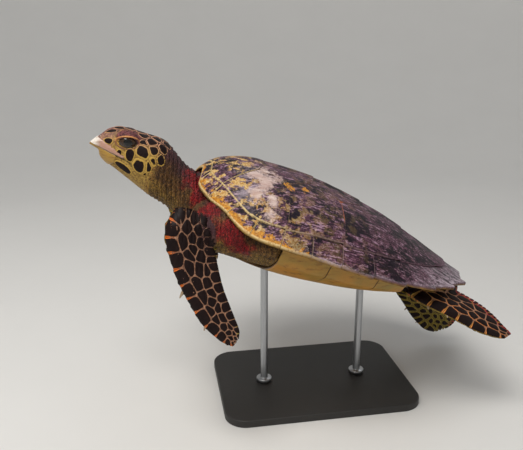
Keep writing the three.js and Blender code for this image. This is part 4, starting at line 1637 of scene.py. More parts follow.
@dataclass
class Skin:
    """One unbroken skin for the head, neck, trunk, tail and flippers."""

    voxel: float = 2.1
    coat: float = 0.7
    shell_gap: float = 0.6
    belly_gap: float = 2.0
    under_shell: tuple = (-283, 277)  # the stretch that the shell covers
    trunk_share: float = 0.8  # of the shell's half width
    axilla_share: float = 0.94  # behind the shoulder
    hidden_share: float = 0.4  # of the faces that are left under the shell
    nostril: tuple = (5.5, -454.5, 46.4)
    lids: Lids = field(default_factory=Lids)
    # where the skin flushes red: x, y, z and reach
    flush: tuple = ((24, -290, 28, 20), (58, -268, 8, 28), (128, -258, 0, 28), (154, -222, -16, 26),
                    (142, -186, -34, 18))
    # the masses of a shoulder, a hip and a front flipper's root: middle and radii
    shoulder: tuple = ((98, -222, -18), (60, 62, 44))
    hip: tuple = ((72, 168, -8), (52, 64, 28))
    root: tuple = ((122, -273, -24), (28, 39, 24))

    @staticmethod
    def _ball(parts: Parts, at: Sequence[float], radii: Sequence[float]) -> None:
        """Adds an egg-shaped mass.

        Args:
            parts: where it is added.
            at: its middle.
            radii: its reach each way.
        """
        a, b = np.linspace(0.02, math.pi - 0.02, 22)[:, None], turns(36)[None]
        ring = np.stack([np.sin(a) * np.cos(b), np.sin(a) * np.sin(b), np.cos(a) + b * 0], -1)
        parts.take(*tube(np.array(at) + ring * np.array(radii)))

    def _masses(self) -> Parts:
        """The masses that the skin is drawn over.

        Returns:
            The closed masses, which cross one another.
        """
        parts = Parts()
        turn = turns(72)
        y = np.concatenate([np.linspace(-467, -440, 24), np.linspace(-438, -236, 90)])
        parts.take(*tube(section_point(HEAD_SHAPE, y[:, None], turn[None])))
        for side in Side:
            lag = np.array([0, RIGHT_LAG if side is Side.RIGHT else 0, 0])
            for middle, radii in ((self.lids.lid, self.lids.lid_radii), self.shoulder, self.hip):
                self._ball(parts, side.put(middle), radii)
            self._ball(parts, side.put(self.root[0]) + lag, self.root[1])
        rows = []
        for y in np.linspace(-256, 228, 60):
            wide = mix(self.trunk_share, self.axilla_share, smooth(y, -212, -160) * smooth(y, -128, -147))
            x = np.linspace(1, -1, 30) * SHELL.half_width(y) * wide
            top = SHELL.dome(x, y) - mix(12, 20, smooth(SHELL.across(x, y), 0.5, 0.79))
            floor = mix(3, 11, smooth(y, -128, -80))
            under = np.minimum(SHELL.belly(x, y) + floor, SHELL.dome(x, y) - 22)
            over, below = (np.stack([x, x * 0 + y, height], -1) for height in (top, under))
            rows.append(np.concatenate([over, below[::-1]]))
        parts.take(*tube(np.array(rows)))
        y = np.linspace(200, 281, 30)
        parts.take(*tube(section_point(TAIL_SHAPE, y[:, None], turn[None, ::2])))
        around = turns(56)
        for limb in LIMBS.values():
            s = np.linspace(0, limb.last, 70)[:, None] + around[None] * 0
            place = 0.5 - 0.5 * np.cos(around)[None] + s * 0
            parts.take(*tube(limb.surface(s, place, np.sign(np.sin(around))[None] + s * 0)))
        return parts

    def _remeshed(self) -> Mesh:
        """The masses fused into one even mesh.

        Returns:
            The mesh, all of quads.
        """
        masses = self._masses()
        made = new_object("masses", np.concatenate(masses.points), masses.faces)
        fuse = made.modifiers.new("fuse", "REMESH")
        fuse.mode = "VOXEL"
        fuse.voxel_size = self.voxel * MM
        fuse.use_smooth_shade = True
        mesh = evaluated(made)
        bpy.data.objects.remove(made)
        return mesh

    @staticmethod
    def _relaxed(points: Array, edges: Array, rounds: int, push: float = -0.53) -> Array:
        """Points smoothed without shrinking, each towards its neighbours and back.

        Args:
            points: the points.
            edges: the pairs of neighbours.
            rounds: how often.
            push: the step back after each step in.

        Returns:
            The moved points.
        """
        a, b = edges.T
        count = np.bincount(np.concatenate([a, b]), minlength=len(points))[:, None]
        for k in range(rounds * 2):
            ends = ((a, b), (b, a))
            total = np.stack([sum(np.bincount(i, points[j, axis], len(points)) for i, j in ends)
                              for axis in range(3)], -1)
            points = points + (total / np.maximum(count, 1) - points) * (0.5 if k % 2 == 0 else push)
        return points

    def _fitted(self, points: Array) -> Array:
        """Keeps the flesh inside the shell.

        Args:
            points: the skin's points.

        Returns:
            The moved points.
        """
        x, y, z = points.T
        front, rear = self.under_shell
        over = (np.abs(x) < SHELL.half_width(y) * 1.03) & (y > front) & (y < rear)
        hidden = smooth(SHELL.across(x, y), 0.82, 0.72) * smooth(y, -238, -215) * smooth(y, 212, 190)
        roof = SHELL.dome(x, y) - SHELL.under_rim(x, y) - self.shell_gap - 5 * hidden
        z = np.where(over, np.minimum(z, roof), z)
        ends, widths = np.array([seam[:2] for seam in Plastron.seams], float).T
        bridge = (y > ends[2]) & (y < 80) & (np.abs(x) < SHELL.half_width(y) * Plastron.bridge_reach)
        below = ((y > ends[0]) & (y < ends[-1]) & (np.abs(x) < np.interp(y, ends, widths))) | bridge
        floor = SHELL.belly(x, y) + Plastron.thick + self.belly_gap
        z = np.where(below & (z < floor) & (z > floor - 60), floor, z)
        return np.stack([x, y, z], -1)

    @staticmethod
    def _normals(points: Array, quads: Array) -> Array:
        """Smooth outward directions at the points.

        Args:
            points: the points.
            quads: the faces.

        Returns:
            A unit direction for each point.
        """
        a, b, c, d = (points[quads[:, k]] for k in range(4))
        face = np.cross(c - a, d - b)
        total = np.zeros_like(points)
        for k in range(4):
            for i in range(3):
                total[:, i] += np.bincount(quads[:, k], face[:, i], len(points))
        return unit(total)

    @staticmethod
    def limb_places(points: Array) -> tuple[Array, Array, Array, Array]:
        """How each skin point lies on the nearest flipper.

        Args:
            points: the skin's points.

        Returns:
            A mask that is 1 on a flipper's blade, the share along it, the share across it, and
            the face it is on, from 1 outside to -1 inside.
        """
        mask, along, place, face = (np.zeros(len(points)) for _ in range(4))
        for limb in LIMBS.values():
            at = limb.curve(limb.fine)
            lead, trail = at[:, :3], at[:, 3:6]
            pairs = ((lead, trail), (trail, lead))
            near = [(points > low.min(0) - 60) & (points < high.max(0) + 60) for low, high in pairs]
            chosen = np.flatnonzero((near[0] | near[1]).all(1))
            middle = (lead + trail) / 2
            some = points[chosen]
            index = np.argmin(((some[:, None] - middle[None, ::4]) ** 2).sum(-1), axis=1) * 4
            chord = trail[index] - lead[index]
            width = np.linalg.norm(chord, axis=-1)
            out = some - lead[index]
            share = (out * chord).sum(-1) / width**2
            normal = limb._normal(limb.fine[index])
            height = (out * normal).sum(-1) * limb.outer
            off = np.abs(height) / (0.5 * at[index, 6] + 2)
            rest = out - chord * share[:, None] - normal * (height * limb.outer)[:, None]
            lengthwise = np.linalg.norm(rest, axis=-1)
            good = (share > -0.08) & (share < 1.03) & (off < 1.15) & (lengthwise < 12)
            root = limb.arc[index] / limb.length
            strength = np.where(good, smooth(root, 0.0, 0.06), 0)
            better = strength > mask[chosen]
            rows = chosen[better]
            mask[rows], along[rows] = strength[better], root[better]
            place[rows], face[rows] = share[better], np.clip(height[better] / 3, -1, 1)
        return mask, along, place, face

    def tinted(self, points: Array) -> dict[str, Array]:
        """The skin's colour, and how grainy it is, at each point.

        Args:
            points: the skin's points.

        Returns:
            The values by name.
        """
        x, y, z = points.T
        limb, along, place, face = self.limb_places(points)
        wide = ROUGH.at(points, 22, 3)
        top, bottom, _, _ = HEAD_SHAPE(y).T
        height = np.clip((z - bottom) / np.maximum(top - bottom, 1), 0, 1)
        away = [np.linalg.norm(as_left(points) - place, axis=-1) / reach for *place, reach in self.flush]
        red = sum(bump_at(far, 0, 1) for far in away)
        broken = ROUGH.at(points * 1.3 + 40, 13, 4)
        colour = layered(
            Tints.neck,
            (smooth(height + 0.12 * wide, 0.45, 0.15), Tints.throat),
            (smooth(height + 0.12 * wide, 0.6, 0.85), Tints.crown),
            (smooth(y, -348, -362) * smooth(height, 0.97, 0.7), Tints.cheek),
            (smooth(y, -425, -440) * smooth(z, 30, 40) * 0.8, Tints.snout),
            (smooth(red + 0.3 * wide + 0.55 * broken, 0.3, 0.85) * smooth(y, -318, -300), Tints.crimson),
            (smooth(y, -170, -120), Tints.shadow),
        )
        # painted shade: the skin is darkened by up to half in the troughs of the neck's folds, where the
        # creases lie in shade
        colour = colour * (1 - 0.5 * smooth(self._folds(points), 0.1, -0.8) * smooth(y, -358, -335))[:, None]
        mouth = mouth_height(y)
        inside, on_lid = self.lids.in_opening(points), self.lids.on_lid(points)
        # painted shade: the skin inside each eye opening and round each nostril is darkened to near black,
        # standing in for the shade in these recesses
        hollow = np.maximum(smooth(inside, 1.1, 1.0), smooth(self._from_nostril(points), 3.4, 2.2))
        colour = layered(
            colour,
            (smooth(y, 120, 160) * 0.9, Tints.olive),
            (smooth(np.abs(z - mouth), 1.6, 0.5) * smooth(y, -382, -392), Tints.lip),
            (smooth(on_lid, 1.22, 1.08) * smooth(z, 50, 60) * smooth(wide, -0.5, 0.2), Tints.brow),
            (smooth(on_lid, 1.1, 1.04) * smooth(z, 50, 58), Tints.lid),
            (smooth(y, -402, -434) * smooth(z, mouth + 1, mouth - 2), Tints.lower),
            (hollow * 0.95, Tints.hollow),
        )
        blade = layered(
            Tints.olive,
            (smooth(face, -0.3, 0.3), Tints.cream),
            (smooth(place, 0.14, 0.02) * smooth(face, -0.9, 0.2), Tints.orange),
            (smooth(place, 0.7, 0.97) * smooth(y, 40, 100) * smooth(wide, -0.6, 0.2), Tints.blush),
            (smooth(along, 0.45, 0.15) * smooth(place, 0.55, 0.8) * smooth(y, -150, -200), Tints.crown),
        )
        colour = mix(colour, blade, limb[:, None])
        grain = (1 - smooth(limb, 0.3, 0.7)) * smooth(y, -366, -350)
        tail = 0.5 * smooth(y, 215, 240) * smooth(np.abs(x), 34, 26) * (1 - limb)
        grain = grain * smooth(y, -120, -170) + tail
        grain = np.maximum(grain, smooth(on_lid, 1.12, 1.0) * smooth(inside, 1.06, 1.12))
        return {"Tint": colour, "grain": grain}

    @staticmethod
    def _folds(points: Array) -> Array:
        """The folds across the neck and over the shoulders, from -1 to 1.

        Args:
            points: the skin's points.

        Returns:
            The height of the folds.
        """
        _, y, z = points.T
        wander = ROUGH.at(points, 34, 2)
        broad = np.sin((y + 0.22 * z) / 7.5 * 2 * math.pi + 3.4 * wander)
        fine = np.sin((y + 0.3 * z) / 3.9 * 2 * math.pi + 5.1 * wander)
        return 0.6 * broad + 0.4 * fine

    def _wrinkles(self, points: Array, normals: Array) -> Array:
        """Points moved into the folds and the mouth's groove.

        Args:
            points: the skin's points.
            normals: their outward directions.

        Returns:
            The moved points.
        """
        x, y, z = points.T
        neck = smooth(y, -356, -328) * smooth(y, -205, -255)
        depth = neck * (1.15 * self._folds(points) - 0.25)
        mouth = bump_at(z, mouth_height(y), 1.5) * smooth(y, -380, -392) * smooth(np.abs(x), 2, 8)
        nose = bump_at(self._from_nostril(points), 0, 2.2)
        return points + normals * (depth - 1.6 * mouth - 1.8 * nose)[:, None]

    def _from_nostril(self, points: Array) -> Array:
        """How far each point is from the nearer nostril."""
        return np.linalg.norm(as_left(points) - self.nostril, axis=-1)

    def build(self, looks: Finishes) -> tuple[Object, BVHTree]:
        """Makes the skin.

        Args:
            looks: the materials.

        Returns:
            The skin, and a tree in body millimetres for finding its surface.
        """
        mesh = self._remeshed()
        quads = column(mesh.loops, "vertex_index").reshape(-1, 4)
        points = self._relaxed(body_points(mesh), column(mesh.edges, "vertices", 2), 7)
        points = self._fitted(points)
        normals = self._normals(points, quads)
        if (normals * (points - points.mean(0))).sum() < 0:
            normals = -normals
        points = self._wrinkles(points - normals * self.coat, normals)
        points = self.lids.carve(points)
        move_points(mesh, points)
        skin = linked("skin", mesh, shaded=True)
        for name, value in self.tinted(points).items():
            point_values(skin, name, value)
        lie = unit(np.cross(normals, np.array([0.0, 1.0, 0.25]))) @ POSE.turn().T
        layer = mesh.attributes.new("across", "FLOAT_VECTOR", "POINT")
        layer.data.foreach_set("vector", lie.astype(np.float32).ravel())
        self._thin(skin, points)
        faces = [tuple(p.vertices) for p in skin.data.polygons]
        tree = BVHTree.FromPolygons(body_points(skin.data).tolist(), faces)
        finished(skin, ["head", "jaw", "neck", "trunk", "tail", *LIMBS], looks.skin)
        return skin, tree

    def _thin(self, skin: Object, points: Array) -> None:
        """Leaves fewer faces where the shell hides the skin, and keeps them inside the shell.

        Args:
            skin: the skin.
            points: its points.
        """
        x, y, _ = points.T
        hidden = (SHELL.across(x, y) < 0.74) & (y > -232) & (y < 205)
        group = skin.vertex_groups.new(name="hidden")
        group.add(np.flatnonzero(hidden).tolist(), 1.0, "REPLACE")
        fewer = skin.modifiers.new("fewer", "DECIMATE")
        fewer.ratio = self.hidden_share
        fewer.vertex_group = "hidden"
        mesh = evaluated(skin)
        skin.modifiers.remove(fewer)
        skin.data = mesh
        skin.vertex_groups.clear()
        move_points(mesh, self._fitted(body_points(mesh)))


# ---- scales
def clipped(polygon: Array, middle: Array, way: Array) -> Array:
    """The part of a polygon that lies before a line.

    Args:
        polygon: its corners in order.
        middle: a point on the line.
        way: the direction that is cut away.

    Returns:
        The corners that are left.
    """
    side = (polygon - middle) @ way
    kept = []
    for k in range(len(polygon)):
        here, there = side[k], side[(k + 1) % len(polygon)]
        if here <= 0:
            kept.append(polygon[k])
        if (here < 0 < there) or (there < 0 < here):
            kept.append(mix(polygon[k], polygon[(k + 1) % len(polygon)], here / (here - there)))
    return np.array(kept)


def cells(seeds: Array, radii: Array, seam: float, corners: int = 22,
          cuts: Sequence[float] = (0.25, 0.25)) -> tuple[Array, Array]:
    """Rounded cells round seeds, each meeting its neighbours along a seam.

    Args:
        seeds: the middles, n by 2, in millimetres.
        radii: the largest reach of each both ways, n by 2.
        seam: the width between neighbours.
        corners: the number of points in each outline.
        cuts: how much is cut off at each corner, round after round.

    Returns:
        The outlines, and the numbers of the seeds that have room for one.
    """
    turn = turns(28)
    round_cell = np.stack([np.cos(turn), np.sin(turn)], -1)
    outlines, kept = [], []
    weight = radii.mean(1)
    for i, seed in enumerate(seeds):
        polygon = seed + round_cell * radii[i]
        away = np.linalg.norm(seeds - seed, axis=1)
        for j in np.argsort(away)[1:22]:
            if away[j] > weight[i] * 2 + weight[j] * 2 or len(polygon) < 3:
                continue
            way = (seeds[j] - seed) / away[j]
            middle = seed + way * (away[j] ** 2 + weight[i] ** 2 - weight[j] ** 2) / (2 * away[j])
            polygon = clipped(polygon, middle - way * seam / 2, way)
        if len(polygon) < 3:
            continue
        for cut in cuts:
            after = np.roll(polygon, -1, 0)
            polygon = np.stack([mix(polygon, after, cut), mix(polygon, after, 1 - cut)], 1).reshape(-1, 2)
        closed = np.concatenate([polygon, polygon[:1]])
        arc = np.concatenate([[0], np.cumsum(np.linalg.norm(np.diff(closed, axis=0), axis=1))])
        if arc[-1] < 5:
            continue
        at = np.linspace(0, arc[-1], corners + 1)[:-1]
        outlines.append(np.stack([np.interp(at, arc, closed[:, k]) for k in range(2)], -1))
        kept.append(i)
    return np.array(outlines), np.array(kept)


@dataclass
class ScaleShape:
    """How a scale is built up from its outline: the inset and height of each of its rings."""

    insets: tuple = (0.0, 0.0, 0.5, 1.3, 2.4)
    heights: tuple = (-1.2, 0.1, 0.6, 0.85, 1.0)
    shares: tuple = (0.6, 0.36, 0.16)
    crown: float = 1.15

    def meshes(self, outlines: Array, surface: Callable, margin: Array) -> tuple:
        """The scales over a surface.

        Args:
            outlines: n outlines of m points.
            surface: takes chart points and heights, and returns body points.
            margin: the width of each scale's pale margin.

        Returns:
            The points, the faces, each point's distance inside the margin, and its chart place.
        """
        n, m = outlines.shape[:2]
        middle = outlines.mean(1, keepdims=True)
        reach = np.linalg.norm(outlines - middle, axis=-1, keepdims=True)
        small = reach.min(1, keepdims=True)
        rings, inner = [], []
        for inset in self.insets:
            step = np.minimum(inset, 0.72 * small)
            rings.append(middle + (outlines - middle) * (1 - step / np.maximum(reach, 0.5)))
            inner.append(np.broadcast_to(step[..., 0], reach.shape[:2]))
        for share in self.shares:
            kept = np.minimum(1 - inner[len(self.insets) - 1][..., None] / np.maximum(reach, 0.5), 1) * share
            rings.append(middle + (outlines - middle) * kept)
            inner.append(((1 - kept) * small)[..., 0])
        chart = np.concatenate([np.stack(rings, 1).reshape(n, -1, 2), middle], 1)
        heights = np.concatenate([np.repeat(self.heights, m), np.full(len(self.shares) * m + 1, self.crown)])
        low = np.minimum(small[:, 0] / 4.0, 1.0)
        heights = np.where(heights > 0, heights * (0.45 + 0.55 * low), heights)
        points = surface(chart, np.broadcast_to(heights, chart.shape[:2]))
        depth = np.concatenate([np.stack(inner, 1).reshape(n, -1), small[:, :, 0] * 0.9], 1)
        depth = depth - margin[:, None] + 0.75
        faces: Faces = []
        per = chart.shape[1]
        ring = grid_faces(len(rings), m, ring=True)
        last = (len(rings) - 1) * m
        ring += [(last + j, last + (j + 1) % m, per - 1) for j in range(m)]
        ring.append(tuple(range(m))[::-1])
        for k in range(n):
            faces += [tuple(c + k * per for c in face) for face in ring]
        return points.reshape(-1, 3), faces, depth.ravel(), chart.reshape(-1, 2)


@dataclass
class FlipperScales:
    """The scales of one flipper's two faces."""

    limb: Limb
    seed: int
    lead: float = 10.5
    middle: float = 7.0
    trail: float = 8.5
    stretch: float = 1.35
    seam: float = 0.62
    start: float = 0.03
    rear: bool = False
    atlas: tuple[float, float] = (0.0, 0.0)

    def _seeds(self, small: float, rng: np.random.Generator) -> tuple[Array, Array]:
        """The middles of the scales of one face, and their sizes.

        Args:
            small: how large they are, against the sizes given.
            rng: the source of chance.

        Returns:
            The middles along and across, and the sizes.
        """
        limb, found, sizes = self.limb, [], []

        def row(place: float, radius: float, shift: float) -> None:
            """A row of scales along an edge."""
            at = limb.length * self.start + radius * shift
            while at < limb.length * 0.985:
                wide = float(limb.width(at))
                scale = min(1.0, wide / 55) * small
                found.append((at, (place - 0.5) * wide + rng.uniform(-1, 1)))
                sizes.append(radius * scale)
                at += 2 * radius * scale * rng.uniform(0.85, 1.15)

        row(0.09, self.lead, 0.3)
        row(0.92, self.trail, 0.9)
        for _ in range(9000):
            at, place = limb.length * rng.uniform(self.start, 0.99), rng.uniform(0.05, 0.95)
            wide = float(limb.width(at))
            scale = min(1.0, wide / 60) * small
            radius = mix(self.lead, self.middle, smooth(place, 0.1, 0.45)) * scale
            point = np.array([at, (place - 0.5) * wide])
            gaps = np.array(found) - point
            near = np.hypot(gaps[:, 0] / self.stretch, gaps[:, 1] * 1.05)
            if (near > 0.86 * (radius + np.array(sizes))).all():
                found.append(tuple(point))
                sizes.append(float(radius))
        return np.array(found), np.array(sizes)

    def surface(self, face: int, tree: BVHTree) -> Callable:
        """Chart points and heights to body points on the skin, on one face."""

        def put(chart: Array, heights: Array) -> Array:
            """The body points."""
            along = np.clip(chart[..., 0], 0, self.limb.length)
            wide = self.limb.width(along)
            place = np.clip(chart[..., 1] / wide + 0.5, 0.006, 0.994)
            station, side = self.limb.station(along), np.full(along.shape, face)
            found = self.limb.surface(station, place, side).reshape(-1, 3)
            way = self.limb.facing(station, place, side).reshape(-1, 3)
            for k, (start, back) in enumerate(zip(found + way * 9, -way)):
                hit = tree.ray_cast(Vector(start), Vector(back), 12)[0]
                if hit is not None:
                    found[k] = hit
            lift = heights * smooth(along, self.limb.length, self.limb.length * 0.965)
            return (found + way * lift.reshape(-1, 1)).reshape(*along.shape, 3)

        return put

    def build(self, looks: Finishes, tree: BVHTree) -> None:
        """Makes the scales of both faces and dresses them.

        Args:
            looks: the materials.
            tree: the skin's surface.
        """
        parts = Parts()
        for face in (1, -1):
            rng = np.random.default_rng(self.seed + face)
            seeds, sizes = self._seeds(1.0 if face > 0 else 0.74 if self.rear else 0.9, rng)
            squeeze = np.array([1 / self.stretch, 1.0])
            radii = np.stack([sizes, sizes], -1) * 1.6
            outlines, kept = cells(seeds * squeeze, radii, self.seam if face > 0 else 2.4, cuts=(0.16, 0.25))
            outlines = outlines / squeeze
            even = (0.55 if self.rear else 0.28) if face > 0 else 1.5
            margin = even * rng.uniform(0.6, 1.5, len(kept))
            points, faces, edge, chart = ScaleShape().meshes(outlines, self.surface(face, tree), margin)
            place = chart[:, 1] / self.limb.width(np.clip(chart[:, 0], 0, self.limb.length)) + 0.5
            tint = np.tile(np.array(Tints.cream if face > 0 else Tints.olive), (len(points), 1))
            if face > 0:
                tint = layered(tint, (smooth(place, 0.3, 0.05) * 0.95, Tints.orange))
                edge = edge - 1.3 * smooth(place, 0.16, 0.03)
            if face > 0 and self.rear:
                root = smooth(chart[:, 0] / self.limb.length, 0.42, 0.16)
                tint = layered(tint, (smooth(place, 0.7, 0.3) * 0.9, Tints.ember), (root, Tints.olive),
                               (smooth(place, 0.7, 0.86), Tints.blush))
                edge = edge - 1.1 * smooth(place, 0.75, 0.95)
            atlas = chart * MM * ATLAS_SCALE + np.array(self.atlas) + np.array([0, 0.07 if face > 0 else 0.2])
            parts.take(points, faces, edge=edge, Tint=tint, OFBake=atlas)
        finished(parts.made(self.limb.name + "_scales"), [], looks.scales)


REAR_SCALES = {"rear": True, "lead": 13.0, "middle": 8.6, "trail": 5.0, "seam": 0.9}


# ---- the head's hard parts
@dataclass
class Eyes:
    """Two dark eyes set deep between the lids, and the lids' rims."""

    lids: Lids
    tree: BVHTree
    rows: int = 28
    columns: int = 40
    shape: tuple = (15.6, 19.0, 14.6)
    rim_steps: int = 72
    rim_sides: int = 10

    def _ball(self) -> tuple[Array, Array]:
        """The left eye, bulging a little over its iris, and how far each point is from its gaze.

        Returns:
            The points, and each one's distance.
        """
        a = np.linspace(0, math.pi, self.rows)[:, None]
        b = turns(self.columns)[None]
        ball = np.stack([np.cos(a) + b * 0, np.sin(a) * np.cos(b), np.sin(a) * np.sin(b)], -1)
        swell = 1 + 0.035 * smooth(a, 0.75, 0.35)[..., None]
        points = np.array(self.lids.eye) + ball * swell * np.array(self.shape)
        return points.reshape(-1, 3), (a / 1.2 + b * 0).ravel()

    def _rims(self) -> Parts:
        """A soft roll round each opening, thicker above.

        Returns:
            Both rims.
        """
        count, sides = self.rim_steps, self.rim_sides
        parts = Parts()
        places = self.lids.border(count, 1.05)
        line = np.array([[0, y, z] for y, z in places])
        for k, (_, y, z) in enumerate(line):
            hit = self.tree.ray_cast(Vector((70, y, z)), Vector((-1, 0, 0)), 90)[0]
            line[k, 0] = hit[0] if hit is not None else 32
        for _ in range(3):
            line = (np.roll(line, 1, 0) + 2 * line + np.roll(line, -1, 0)) / 4
        upper = smooth(np.sin(turns(count)), -0.5, 0.6)
        along = unit(np.roll(line, -1, 0) - np.roll(line, 1, 0))
        out = unit(np.cross(along, np.array([1.0, 0, 0])))
        lift = np.cross(out, along)
        turn = turns(sides)[None, :, None]
        size = mix(0.75, 1.35, upper)[:, None, None]
        ring = line[:, None] + size * (out[:, None] * np.cos(turn) + lift[:, None] * np.sin(turn))
        points = ring.reshape(-1, 3)
        faces = grid_faces(count, sides, ring=True)
        last = (count - 1) * sides
        faces += [(last + j, last + (j + 1) % sides, (j + 1) % sides, j) for j in range(sides)]
        tint = layered(Tints.lid, (np.repeat(upper, sides), Tints.rim))
        shade = np.full(len(points), 0.6)
        for side in Side:
            parts.take(side.put(points), faces, Tint=tint, shade=shade)
        return parts

    def build(self, looks: Finishes) -> None:
        """Makes both eyes and the rims of the lids.

        Args:
            looks: the materials.
        """
        points, gaze = self._ball()
        for side in Side:
            parts = Parts().take(side.put(points), grid_faces(self.rows, self.columns, ring=True), gaze=gaze)
            made = outward(parts.made(f"eye_{side.word}_ball"), POLE)
            finished(made, [f"eye_{side.word}"], looks.eye)
        finished(self._rims().made("lid_rims"), [], looks.grains)


@dataclass(frozen=True)
class HeadScale:
    """One large scale of the head: its place along the head and round it, its size and margin."""

    name: str
    along: float
    around: float
    reach: float
    girth: float
    margin: float = 1.6
    middle: bool = False


HEAD_SCALES = [HeadScale(*row) for row in (
    ("prefrontal", -439, 55, 8, 6, 1.3),
    ("loreal", -439, 13, 6.5, 6.5, 1.5),
    ("lip_corner", -417, -3, 4, 3, 1.0),
    ("cheek_front", -399, 3, 7.5, 7.5, 1.7),
    ("cheek", -381, 20, 10.5, 12, 2.4),
    ("postocular", -383, 42, 7, 6.5, 1.6),
    ("cheek_low", -380, -5, 11, 9, 2.4),
    ("ear", -366, 1, 6, 6, 1.6),
    ("ear_high", -361, 14, 6, 6, 2.0),
    ("temporal", -364, 35, 9.5, 9.5, 1.9),
    ("temporal_rear", -351, 24, 8, 7.5, 1.8),
    ("cheek_dot", -369, -13, 3.2, 3.2, 0.7),
    ("mandible", -404, -33, 15, 7, 2.0),
    ("crown_side", -371, 55, 11, 8.5, 1.6),
    ("crown_rear", -351, 50, 7.5, 9.5, 1.6),
    ("parietal", -386, 70, 9, 7.5, 1.3),
    ("parietal_rear", -364, 74, 9.5, 8, 1.3),
    ("nape", -346, 74, 8, 8, 1.4),
    ("prefrontal_rear", -428, 76, 8, 7, 1.1),
    ("frontal", -411, 90, 10, 7.5, 1.2, True),
    ("frontoparietal", -392, 90, 10, 8, 1.3, True),
    ("interparietal", -374, 90, 8, 6.5, 1.3, True),
    ("nape_middle", -354, 90, 8, 6.5, 1.3, True),
)]


@dataclass
class HeadScales:
    """The large plates of the head."""

    tree: BVHTree
    girth: float = 40.0
    seam: float = 0.9
    atlas: tuple[float, float] = (1.27, 0.2)

    def surface(self, chart: Array, heights: Array) -> Array:
        """Chart points, along and round the head, to body points on the skin.

        Args:
            chart: places along and round the head.
            heights: how far each stands off the skin.

        Returns:
            The body points.
        """
        around = chart[..., 1] / self.girth + math.pi / 2
        shape = section_point(HEAD_SHAPE, chart[..., 0], around)
        out = np.stack([np.cos(around), np.zeros(around.shape), np.sin(around)], -1)
        found = shape.reshape(-1, 3).copy()
        for k, (start, way) in enumerate(zip(found + out.reshape(-1, 3) * 22, out.reshape(-1, 3))):
            hit = self.tree.ray_cast(Vector(start), Vector(-way), 44)[0]
            if hit is not None:
                found[k] = hit
        return found.reshape(shape.shape) + out * heights[..., None]

    def build(self, looks: Finishes) -> None:
        """Makes the plates of both sides and dresses them.

        Args:
            looks: the materials.
        """
        rng = np.random.default_rng(5)
        seeds, radii, margins = [], [], []
        for scale in HEAD_SCALES:
            for sign in (0,) if scale.middle else (1, -1):
                jitter = rng.uniform(-0.6, 0.6, 2) if sign < 0 else np.zeros(2)
                across = sign * math.radians(scale.around - 90) * self.girth
                seeds.append([scale.along + jitter[0], across + jitter[1]])
                radii.append([scale.reach + scale.margin, scale.girth + scale.margin])
                margins.append(scale.margin)
        outlines, kept = cells(np.array(seeds), np.array(radii), self.seam, 30)
        shape = ScaleShape((0.0, 0.0, 0.4, 0.9, 1.5, 2.2), (-1.0, 0.05, 0.35, 0.5, 0.55, 0.6), crown=0.75)
        points, faces, edge, chart = shape.meshes(outlines, self.surface, np.array(margins)[kept])
        edge = edge + 0.9 * ROUGH.at(points, 5.0, 2)
        height = smooth(points[:, 2], 40, 66)
        tint = layered(Tints.cheek, (height, Tints.forehead))
        chart = chart * MM * ATLAS_SCALE + np.array(self.atlas)
        parts = Parts().take(points, faces, edge=edge, Tint=tint, OFBake=chart)
        finished(parts.made("head_scales"), [], looks.scales)


